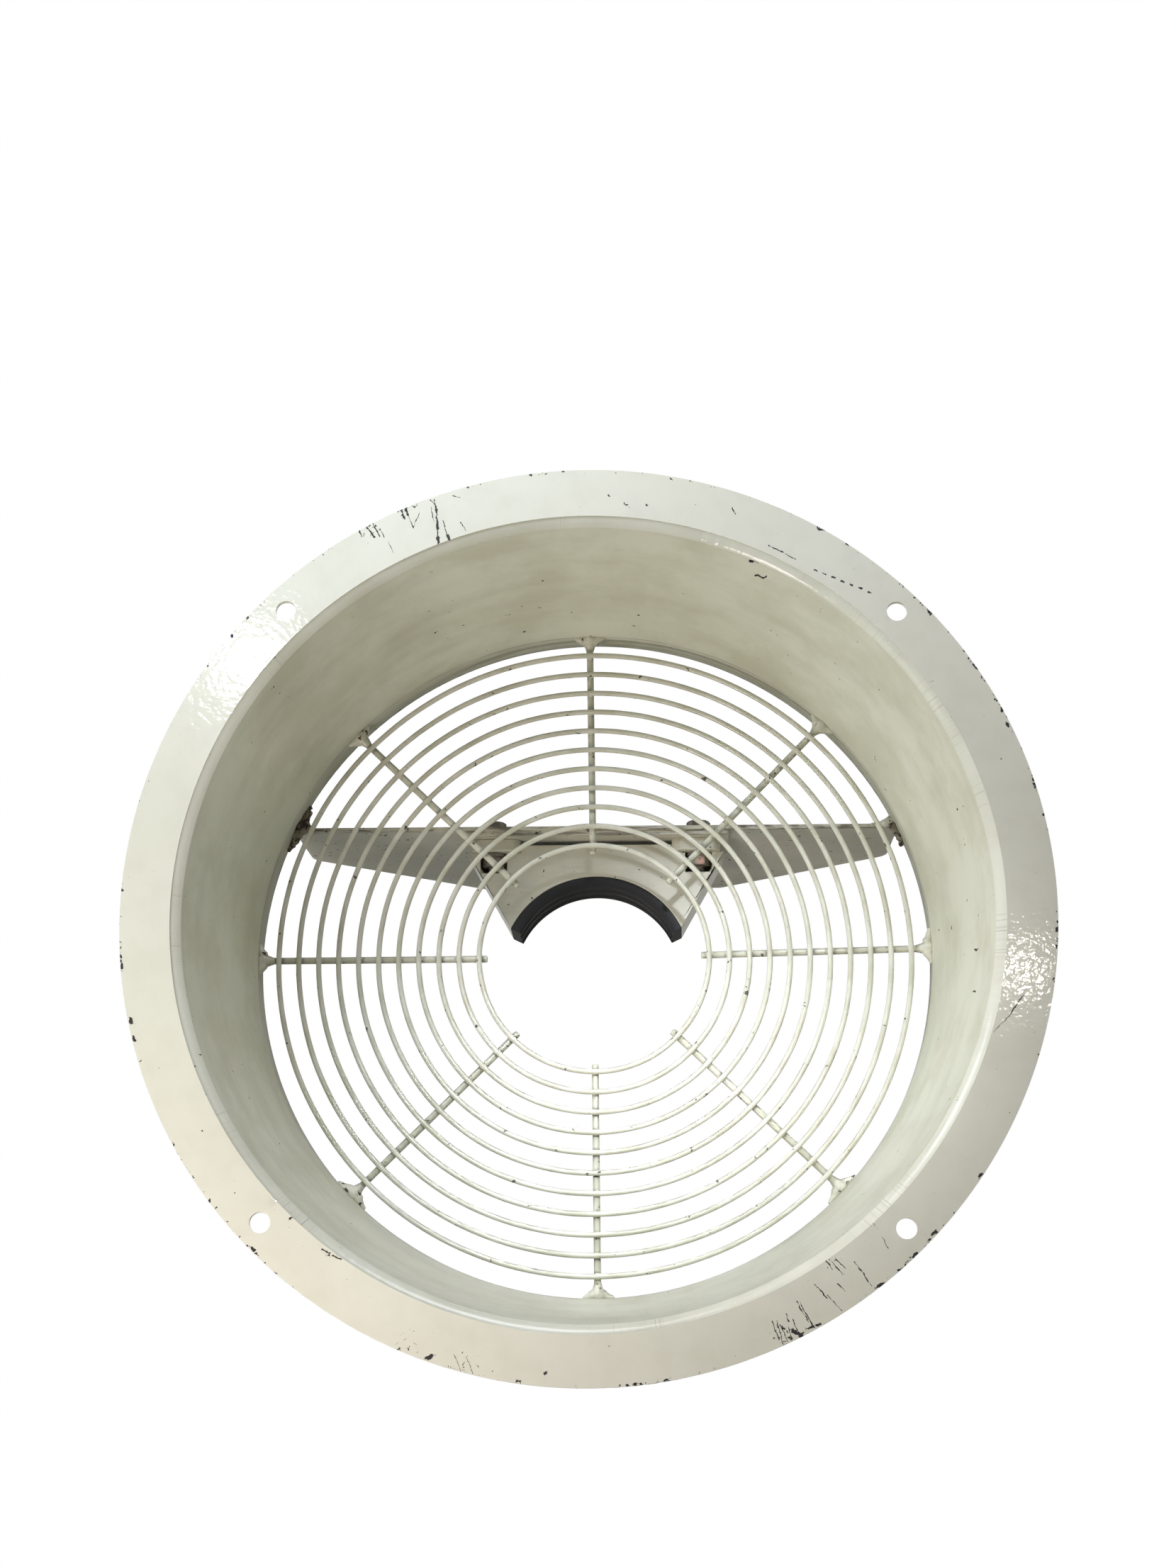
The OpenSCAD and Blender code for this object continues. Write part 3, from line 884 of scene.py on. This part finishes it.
hole_r = bolt_circle["hole_r_mm"]*MM
hole_circle_r = bolt_circle["pcd_mm"]*MM/2
flange = rod("flange_plate", flange_r, flange_t, (0, flange_t/2, 0), ALONG_Y, ROUND_STEPS)
opening = rod("opening", lip_r, 4*flange_t, (0, 0, 0), ALONG_Y, ROUND_STEPS)
cut(flange, opening)
for quarter in range(bolt_circle["count"]):
    angle = hole_first + quarter*2*pi/bolt_circle["count"]
    centre = (hole_circle_r*cos(angle), 0, hole_circle_r*sin(angle))
    cut(flange, rod("hole", hole_r, 4*flange_t, centre, ALONG_Y, 48))
soften_edges(flange, 0.5*MM, 2)
smooth(flange, 30, flat_above=20)
dress(flange, flange_enamel, "casing_paint", "mouth_flange")

# %% [markdown]
# ## The shell
#
# One sheet forms the rolled lip, the taper and the rear collar. Its section is turned about the
# duct's axis in 320 steps, because a gloss surface shows every facet. The lip is an arc that
# starts nearly flat in the flange's face and turns down into the wall.

# %% Shell

LIP_STEPS = 8


def lip_corner(share):
    """Corner of the lip's arc, from its start at the flange to the wall."""
    slope = lip_slopes[0] + share*(lip_slopes[1] - lip_slopes[0])
    return (lip_r - lip_bend_r*(sin(slope) - sin(lip_slopes[0])),
            lip_y + lip_bend_r*(cos(lip_slopes[0]) - cos(slope)))


taper = (mouth_r - rear_r)/(taper_end_y - lip_depth)
outer_start_y = 2*flange_t
outer_start_r = mouth_r - taper*(outer_start_y - lip_depth) + sheet_t
rim_round = 0.5*MM
rim_chamfer = 0.15*MM
inner_side = [lip_corner(i/LIP_STEPS) for i in range(LIP_STEPS + 1)]
inner_side += [(mouth_r - taper*share*(taper_end_y - lip_depth),
                lip_depth + share*(taper_end_y - lip_depth)) for share in (0.25, 0.5, 0.75)]
inner_side += [(rear_r, taper_end_y), (rear_r, rear_y - rim_round)]
rear_rim = [(rear_r + rim_chamfer, rear_y - rim_chamfer), (rear_r + rim_round, rear_y),
            (rear_outer_r - rim_round, rear_y),
            (rear_outer_r - rim_chamfer, rear_y - rim_chamfer)]
outer_side = [(rear_outer_r, rear_y - rim_round), (rear_outer_r, taper_end_y),
              (outer_start_r, outer_start_y), (lip_r, flange_t)]
shell = turned("shell", inner_side + rear_rim + outer_side, ROUND_STEPS)
smooth(shell, 24)
dress(shell, shell_enamel, "casing_paint", "duct_shell")

# %% [markdown]
# ## The wire guard
#
# Eleven rings lie on eight radial bars. Real rings are wires bent by hand and joined at the ends,
# so they waver by a fraction of a millimetre. All the wires are bent by one soft noise, so that a
# ring and a bar that are welded together stay together.

# %% Bend the wires a little

waver = bpy.data.textures.new("waver", "CLOUDS")
waver.cloud_type = "COLOR"
waver.noise_scale = 70*MM


def bend_wire(piece):
    """Moves each part of a wire by the waver at its place."""
    settle(piece)
    with_modifier(piece, "DISPLACE", texture=waver, direction="RGB_TO_XYZ",
                  texture_coords="LOCAL", strength=0.7*MM, mid_level=0.5)


# %% Rings

for name in ring_names:
    ring_r = radii_at(name, ring_y)[1] - ring_wire_r
    bpy.ops.object.select_all(action="DESELECT")
    bpy.ops.mesh.primitive_torus_add(major_radius=ring_r, minor_radius=ring_wire_r,
                                     major_segments=192, minor_segments=14,
                                     location=(0, ring_y, 0), rotation=ALONG_Y)
    wire = bpy.context.object
    wire.name = name.replace("guard_ring", "ring_wire")
    bend_wire(wire)
    smooth(wire, 180)
    dress(wire, ring_enamel, "guard_paint", name)

# %% [markdown]
# Each bar is one wire with a small bead of weld at every ring. The first one is modelled level,
# with its beads, and the others are copies that are turned to their own angles.

# %% One bar with its beads

bar_outer_r = rear_r + 0.4*MM
bead_size = (1.9*MM, 0.9*MM, 1.75*MM)


def bead(centre, size):
    """A small flattened lump of weld."""
    bpy.ops.object.select_all(action="DESELECT")
    bpy.ops.mesh.primitive_ico_sphere_add(subdivisions=2, radius=1, location=centre, scale=size)
    return settle(bpy.context.object)


def level_bar():
    """A bar along the X axis, with a bead at every ring."""
    length = bar_outer_r - bar_inner_r
    bar = rod("bar", bar_wire_r, length, ((bar_inner_r + bar_outer_r)/2, bar_y, 0),
              (0, radians(90), 0), 20)
    soften_edges(bar, 0.7*MM, 3, 60)
    beads = []
    for count in range(len(ring_names)):
        ring_r = ring_inner_r + count*ring_step
        beads.append(bead((ring_r, ring_y + 0.9*ring_wire_r, 0), bead_size))
    return joined("bar", [bar] + beads)


first_bar = level_bar()

# %% All the bars


def turned_copy(piece, name, degrees):
    """A copy with its own mesh, turned about the duct's axis."""
    select_only(piece)
    bpy.ops.object.duplicate()
    copy = bpy.context.object
    copy.name = name
    copy.rotation_euler = (0, -radians(degrees), 0)
    return settle(copy)


for number, (name, degrees) in enumerate(zip(bar_names, bar_angles), 1):
    bar = turned_copy(first_bar, f"bar_wire_{number}", degrees)
    bend_wire(bar)
    smooth(bar, 60)
    dress(bar, bar_enamel, "guard_paint", name)
bpy.data.objects.remove(first_bar)

# %% [markdown]
# ## Weld lumps
#
# At the wall each bar ends in a crusty lump with a fork of metal to either side. A lump is made
# as a sculptor would make it: a few balls are set together, remeshed into one skin, and roughened
# with a fine noise.

# %% Lumps

crust = bpy.data.textures.new("crust", "CLOUDS")
crust.noise_scale = 1.6*MM
crust.noise_depth = 3
skin_grain = 0.45*MM


def lump(name, balls, roughness=0.5*MM, rounds=6):
    """One skin over several balls of (place, size), roughened like weld metal."""
    piece = joined(name, [bead(place, (size, size, size)) for place, size in balls])
    piece.data.remesh_voxel_size = skin_grain
    bpy.ops.object.voxel_remesh()
    with_modifier(piece, "SMOOTH", factor=0.5, iterations=rounds)
    with_modifier(piece, "DISPLACE", texture=crust, texture_coords="LOCAL", strength=roughness,
                  mid_level=0.5)
    return smooth(piece, 180)


def bar_weld(name, degrees):
    """A web that flares from a bar's end into the collar, with a fork along it to either side."""
    chance = random.Random(name)
    balls = [(polar(rear_r - back*MM, degrees, bar_y), size*MM)
             for back, size in ((6.6, 1.9), (5.4, 2.2), (4.2, 2.6), (3.0, 3.0), (1.8, 3.4))]
    for side in (-1, 1):
        reach = chance.uniform(0.8, 1.25)
        lift = chance.uniform(-0.6, 0.6)
        for along, back, size in ((2.6, 1.9, 2.4), (4.2, 1.0, 2.0), (5.8, 0.6, 1.6),
                                  (7.0, 0.3, 1.2)):
            turn = side*math_degrees(along*reach*MM/rear_r)
            balls.append((polar(rear_r - back*MM, degrees + turn, bar_y + lift*MM), size*MM))
    return lump(name, balls)


for number, degrees in enumerate(bar_angles, 1):
    dress(bar_weld(f"bar_weld_{number}", degrees), weld_finish, "guard_paint")

# %% [markdown]
# The platform's ends are welded to the collar's rim with longer runs. The left one is a rusty
# crust that creeps up and down the rim. The right one is a painted fillet above and a dark crust
# below.

# %% Weld runs at the platform's ends

platform_low, platform_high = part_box("motor_platform")
platform_mid_z = (platform_low.z + platform_high.z)/2
platform_turn = math_degrees(asin(platform_mid_z/rear_r))


def weld_run(name, side, first, last, sizes, roughness):
    """Lumps along the collar's rim, from first to last in millimetres above the platform."""
    chance = random.Random(name)
    count = len(sizes)
    balls = []
    for index, size in enumerate(sizes):
        rise = first + (last - first)*index/(count - 1)
        turn = platform_turn + math_degrees(rise*MM/rear_r)
        degrees = turn if side > 0 else 180 - turn
        place = polar(rear_r - chance.uniform(0.2, 1.4)*MM, degrees,
                      rear_y - chance.uniform(1.5, 4.0)*MM)
        balls.append((place, size*MM))
    return lump(name, balls, roughness=roughness, rounds=4)


def corner_fillet(name, side, rises):
    """A web in the corner between the platform's end and the collar."""
    x = (rear_r**2 - platform_mid_z**2)**0.5
    balls = [(Vector((side*(x - back*MM), rear_y - 1.6*MM, platform_mid_z + rise*MM)), size*MM)
             for back, rise, size in rises]
    return lump(name, balls, roughness=0.6*MM)


left_run = joined("platform_weld_left", [
    weld_run("left_crust", -1, -11.0, 12.0, (1.4, 2.2, 3.0, 3.4, 3.6, 3.2, 2.6, 1.8, 1.2), 1.5*MM),
    corner_fillet("left_fillet", -1, ((1.5, 0.0, 3.4), (4.0, 0.4, 2.6), (6.5, 0.2, 1.9)))])
right_run = weld_run("platform_weld_right_crust", 1, -10.0, -1.0, (1.4, 2.0, 2.4, 2.6), 1.2*MM)
right_fillet = corner_fillet("platform_weld_right", 1, (
    (0.5, 5.5, 1.8), (0.8, 3.5, 2.4), (2.0, 1.6, 2.8), (4.5, 0.6, 2.3), (7.5, 0.2, 1.7),
    (10.5, 0.0, 1.3)))
dress(left_run, rusty_weld_finish, "bracket_paint")
dress(right_run, rusty_weld_finish, "bracket_paint")
dress(right_fillet, weld_finish, "bracket_paint")

# %% [markdown]
# ## The platform and the cradle
#
# These plates are flat with sheared edges, and the frame holds their outlines exactly. The
# quickest true model is a copy of the frame's own solid: its loose triangles are merged, the flat
# faces are joined, and the edges get a small radius.

# %% Soft-edged copies of flat plates


def softened_copy(node, name, width):
    """A copy of a node's solid, with its triangles merged and its edges rounded."""
    piece = bpy.data.objects.new(name, frame["nodes"][node].data.copy())
    bpy.context.scene.collection.objects.link(piece)
    select_only(piece)
    bpy.ops.object.mode_set(mode="EDIT")
    bpy.ops.mesh.select_all(action="SELECT")
    bpy.ops.mesh.remove_doubles(threshold=MERGE)
    bpy.ops.mesh.dissolve_limited(angle_limit=radians(1))
    bpy.ops.object.mode_set(mode="OBJECT")
    soften_edges(piece, width)
    return smooth(piece, 40, flat_above=20)


plates = {
    "motor_platform": ("platform", 0.4, platform_enamel),
    "mounting_strip": ("strip", 0.4, strip_enamel),
    "cradle_front_plate": ("cradle_front", 0.35, bracket_enamel),
    "cradle_rear_plate": ("cradle_rear", 0.35, bracket_enamel),
    "saddle_band": ("cradle_band", 0.2, bracket_enamel),
    "cradle_side_left": ("cradle_left", 0.3, bracket_enamel),
    "cradle_side_right": ("cradle_right", 0.3, bracket_enamel),
    "cradle_foot_left": ("foot_left", 1.4, bracket_enamel),
    "cradle_foot_right": ("foot_right", 1.4, bracket_enamel),
}
for node, (name, width, finish) in plates.items():
    dress(softened_copy(node, name, width*MM), finish, "bracket_paint", node)

# %% [markdown]
# ## The rubber saddle
#
# The lining is a thick strip of rubber bent into an arch, with a raised bead along each edge and
# a fine ridge in the middle. Its section is drawn once and spun round the duct's axis.

# %% Rubber

saddle_low, saddle_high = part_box("rubber_saddle")
saddle_front, saddle_rear = saddle_low.y, saddle_high.y
saddle_inner_r = 40.2*MM
saddle_outer_r = 45.7*MM
saddle_half_turn = radians(63.8)
SADDLE_STEPS = 64


def saddle_section():
    """Corners of (radius, depth) round the strip, with its beads and ridge on the inner side."""
    width = saddle_rear - saddle_front
    mid = (saddle_front + saddle_rear)/2
    bead_w, sink = 2.4*MM, 0.7*MM
    low = saddle_inner_r
    return [
        (saddle_outer_r, saddle_front + 0.4*MM), (saddle_outer_r - 0.4*MM, saddle_front),
        (low + 0.8*MM, saddle_front), (low + 0.2*MM, saddle_front + 0.3*MM),
        (low, saddle_front + 0.9*MM), (low, saddle_front + bead_w - 0.4*MM),
        (low + sink, saddle_front + bead_w + 0.3*MM), (low + sink, mid - 0.9*MM),
        (low + 0.1*MM, mid - 0.4*MM), (low + 0.1*MM, mid + 0.4*MM), (low + sink, mid + 0.9*MM),
        (low + sink, saddle_front + width - bead_w - 0.3*MM),
        (low, saddle_front + width - bead_w + 0.4*MM), (low, saddle_rear - 0.9*MM),
        (low + 0.2*MM, saddle_rear - 0.3*MM), (low + 0.8*MM, saddle_rear),
        (saddle_outer_r - 0.4*MM, saddle_rear), (saddle_outer_r, saddle_rear - 0.4*MM),
    ]


def spun_saddle():
    """The section, spun through the arch from one tip to the other."""
    section = saddle_section()
    bpy.ops.object.select_all(action="DESELECT")
    bpy.ops.mesh.primitive_circle_add(vertices=len(section), radius=MM, fill_type="NGON")
    piece = settle(bpy.context.object)
    piece.name = "saddle"
    start = pi/2 - saddle_half_turn
    for vertex, (radius, depth) in zip(piece.data.vertices, section):
        vertex.co = (radius*cos(start), depth, radius*sin(start))
    bpy.ops.object.mode_set(mode="EDIT")
    bpy.ops.mesh.select_all(action="SELECT")
    bpy.ops.mesh.spin(steps=SADDLE_STEPS, angle=2*saddle_half_turn, center=(0, 0, 0),
                      axis=(0, 1, 0))
    bpy.ops.mesh.select_all(action="SELECT")
    bpy.ops.mesh.remove_doubles(threshold=MERGE)
    bpy.ops.mesh.normals_make_consistent(inside=False)
    bpy.ops.object.mode_set(mode="OBJECT")
    return smooth(piece, 40)


saddle = spun_saddle()
dress(saddle, saddle_rubber, "rubber", "rubber_saddle")

# %% [markdown]
# ## Bolts, nuts and washers
#
# Two bolts hold the cradle under the platform. A hexagon with its corners turned off is what
# makes a bolt head look real, so a six-sided rod is cut to what it shares with a bevelled round
# one.

# %% A turned-off hexagon

bolts_low, bolts_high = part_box("cradle_bolts")
washer_low, washer_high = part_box("platform_washers")
nut_low, nut_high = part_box("cradle_nuts")
nut_washer_low, nut_washer_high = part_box("nut_washers")
washer_r = (washer_high.y - washer_low.y)/2
hex_corner_r = (nut_high.y - nut_low.y)/2
bolt_x = washer_high.x - washer_r
bolt_y = middle("cradle_bolts").y
shank_r = 3*MM


def hexagon(x, low_z, high_z):
    """A six-sided rod with its corners turned off at both ends."""
    height = high_z - low_z
    centre = (x, bolt_y, (low_z + high_z)/2)
    body = rod("hexagon", hex_corner_r, height, centre, (0, 0, radians(30)), 6)
    round_tool = turned("round", [(hex_corner_r - 0.8*MM, low_z), (hex_corner_r, low_z + 0.5*MM),
                                  (hex_corner_r, high_z - 0.5*MM),
                                  (hex_corner_r - 0.8*MM, high_z)],
                        64, "Z", (x, bolt_y, 0), closed=False)
    return cut(body, round_tool, "INTERSECT")


def threaded_end(x, low_z, high_z):
    """The bolt's shank, with ridges of thread where it stands out of the nut."""
    pitch, deep = 1.0*MM, 0.5*MM
    section = [(shank_r - 0.8*MM, low_z)]
    place = low_z + 0.5*MM
    while place < nut_low.z + pitch:
        section += [(shank_r, place), (shank_r - deep, place + pitch/2)]
        place += pitch
    section += [(shank_r, place), (shank_r, high_z)]
    return turned("shank", section, 32, "Z", (x, bolt_y, 0), closed=False)


# %% Fasteners


def bolt(x):
    """A hexagon head on a threaded shank."""
    head = hexagon(x, washer_high.z, bolts_high.z)
    shank = threaded_end(x, bolts_low.z, washer_high.z + 0.5*MM)
    return joined("bolt", [head, shank])


def nut(x):
    """A hexagon with a bore that just clears the shank."""
    bore_length = 4*(nut_high.z - nut_low.z)
    body = hexagon(x, nut_low.z, nut_high.z)
    return cut(body, rod("bore", shank_r + 0.02*MM, bore_length, (x, bolt_y, nut_low.z)))


def washer(x, low_z, high_z):
    """A flat ring with its outer edge turned off."""
    bore_r, edge = shank_r + 0.3*MM, 0.3*MM
    section = [(bore_r, low_z), (bore_r, high_z), (washer_r - edge, high_z),
               (washer_r, high_z - edge), (washer_r, low_z + edge), (washer_r - edge, low_z)]
    return turned("washer", section, 48, "Z", (x, bolt_y, 0))


def pair(name, make):
    """The same fastener on the left and on the right, as one piece."""
    return smooth(joined(name, [make(-bolt_x), make(bolt_x)]), 30)


dress(pair("bolts", bolt), fastener_steel, "dark_steel", "cradle_bolts")
dress(pair("nuts", nut), fastener_steel, "dark_steel", "cradle_nuts")
dress(pair("washers_above", lambda x: washer(x, washer_low.z, washer_high.z)),
      fastener_steel, "dark_steel", "platform_washers")
dress(pair("washers_below", lambda x: washer(x, nut_washer_low.z, nut_washer_high.z)),
      fastener_steel, "dark_steel", "nut_washers")

# %% [markdown]
# ## Camera
#
# The camera stands a little over a metre in front of the mouth and below the axis, and looks up.
# Its place came from the flange's circles, its bolt holes and the guard's rings in the
# photograph.

# %% Camera

camera_place = Vector((44.7, -1218.1, -276.2))*MM
camera_turn = (radians(105.266), radians(-0.049), radians(2.053))
bpy.ops.object.select_all(action="DESELECT")
bpy.ops.object.camera_add(location=camera_place, rotation=camera_turn)
camera = bpy.context.object
camera.data.sensor_fit = "HORIZONTAL"
camera.data.sensor_width = 36
camera.data.lens = 87.96
camera.data.clip_end = 50
bpy.context.scene.camera = camera
print(f"camera {camera_place.length:.2f} m from the middle of the mouth")

# %% [markdown]
# ## Stage and light
#
# The picture has a white background and soft light from the upper left. A far, plain white board
# behind the object gives the background, and a pale floor lies below the camera. The room itself
# is an even pale grey. A strip above and a lamp at the left, like a window, model the form, and
# smaller lamps in front each lift one side of the duct. Two lamps behind the casing light its
# outside. Two narrow beams pass through the mouth and reach only the guard's lower wires, which
# look almost white there. The last two are small and stand where the flange mirrors them into the
# camera, which makes the sharp highlights on the enamel.

# %% Floor and backdrop


def plain_surface(name, colour):
    """A dull material of one colour."""
    material, tree, shader = new_material(name)
    shader.inputs["Base Color"].default_value = colour
    shader.inputs["Roughness"].default_value = 0.9
    return material, tree, shader


def make_backdrop_white():
    """White where it is looked at or mirrored, and dark to all other light."""
    material, tree, shader = plain_surface("backdrop_white", (0, 0, 0, 1))
    path = new_node(tree, "ShaderNodeLightPath")
    seen = strongest(tree, [path.outputs["Is Camera Ray"], path.outputs["Is Glossy Ray"],
                            path.outputs["Is Transmission Ray"]])
    feed(tree, shader, "Emission Color", (1, 1, 1, 1))
    feed(tree, shader, "Emission Strength", seen)
    return material


def board(name, size, place, turn, material):
    """A flat board of the stage, which isn't part of the object."""
    bpy.ops.object.select_all(action="DESELECT")
    bpy.ops.mesh.primitive_plane_add(size=1, location=place, rotation=turn)
    piece = bpy.context.object
    piece.name = name
    piece.scale = (size[0], size[1], 1)
    settle(piece)
    piece.data.materials.append(material)
    print(f"{name}: {size[0]} by {size[1]} m")


floor_z = -0.46
board("floor", (8, 8), (0, 0, floor_z), (0, 0, 0),
      plain_surface("floor_grey", srgb(225, 225, 222))[0])
board("backdrop", (3.1, 4.3), (-0.18, 5, 1.68), ALONG_Y, make_backdrop_white())

# %% Room light

world = bpy.data.worlds.new("room")
bpy.context.scene.world = world
world.use_nodes = True
room = world.node_tree.nodes["Background"]
room.inputs["Color"].default_value = (0.96, 1.0, 0.9, 1.0)
room.inputs["Strength"].default_value = 0.075
print("room light:", world.name)

# %% Lamps


def lamp(name, place, size, power, colour=(1.0, 1.0, 1.0), height=None, aim=(0, 0, 0),
         spread=180):
    """A square lamp that faces aim, or a strip with a height, or a beam with a small spread."""
    place = Vector(place)
    turn = (Vector(aim) - place).to_track_quat("-Z", "Y").to_euler()
    bpy.ops.object.select_all(action="DESELECT")
    bpy.ops.object.light_add(type="AREA", location=place, rotation=turn)
    light = bpy.context.object
    light.name = name
    light.data.shape = "RECTANGLE"
    light.data.size = size
    light.data.size_y = height or size
    light.data.energy = power
    light.data.spread = radians(spread)
    light.data.color = colour
    light.visible_camera = False
    print(f"lamp {name}: {power} W")


lamp("above", (-0.1, -0.5, 1.3), 1.1, 4.5, (1.0, 0.92, 0.98), height=0.12)
lamp("window", (-1.1, -0.49, 0.3), 0.3, 0.9, (1.0, 0.98, 0.95))
lamp("left_high", (-0.35, -0.25, 0.35), 0.2, 1.5, (0.76, 0.86, 1.0))
lamp("top_near", (0.05, -0.25, 0.45), 0.2, 0.95, (0.81, 0.87, 1.0))
lamp("left_low", (-0.42, -0.25, -0.15), 0.2, 0.35, (1.0, 1.0, 0.85))
lamp("low_left", (-0.3, -0.25, -0.38), 0.12, 1.2, (1.0, 0.88, 0.84))
lamp("right_high", (0.7, -0.7, 0.95), 0.5, 0.7, (1.0, 0.66, 0.36))
lamp("back_left", (-1.5, 1.1, 0.7), 1.2, 4.5)
lamp("back_right", (1.5, 1.1, 0.7), 1.2, 3.0)
lamp("beam_right", (0.12, -0.87, 0.3), 0.05, 0.066, (0.9, 0.94, 1.0), aim=(0.06, 0.11, -0.072),
     spread=16)
lamp("beam_low", (0.06, -0.87, 0.3), 0.05, 0.033, (0.9, 0.94, 1.0), aim=(-0.035, 0.11, -0.1),
     spread=14)
lamp("mirror_left", (-0.44, -1.827, 0.70), 0.07, 0.55)
lamp("mirror_right", (0.40, -1.827, 0.345), 0.026, 0.13, (1.0, 0.92, 0.84))

bpy.context.scene.view_settings.view_transform = "Standard"
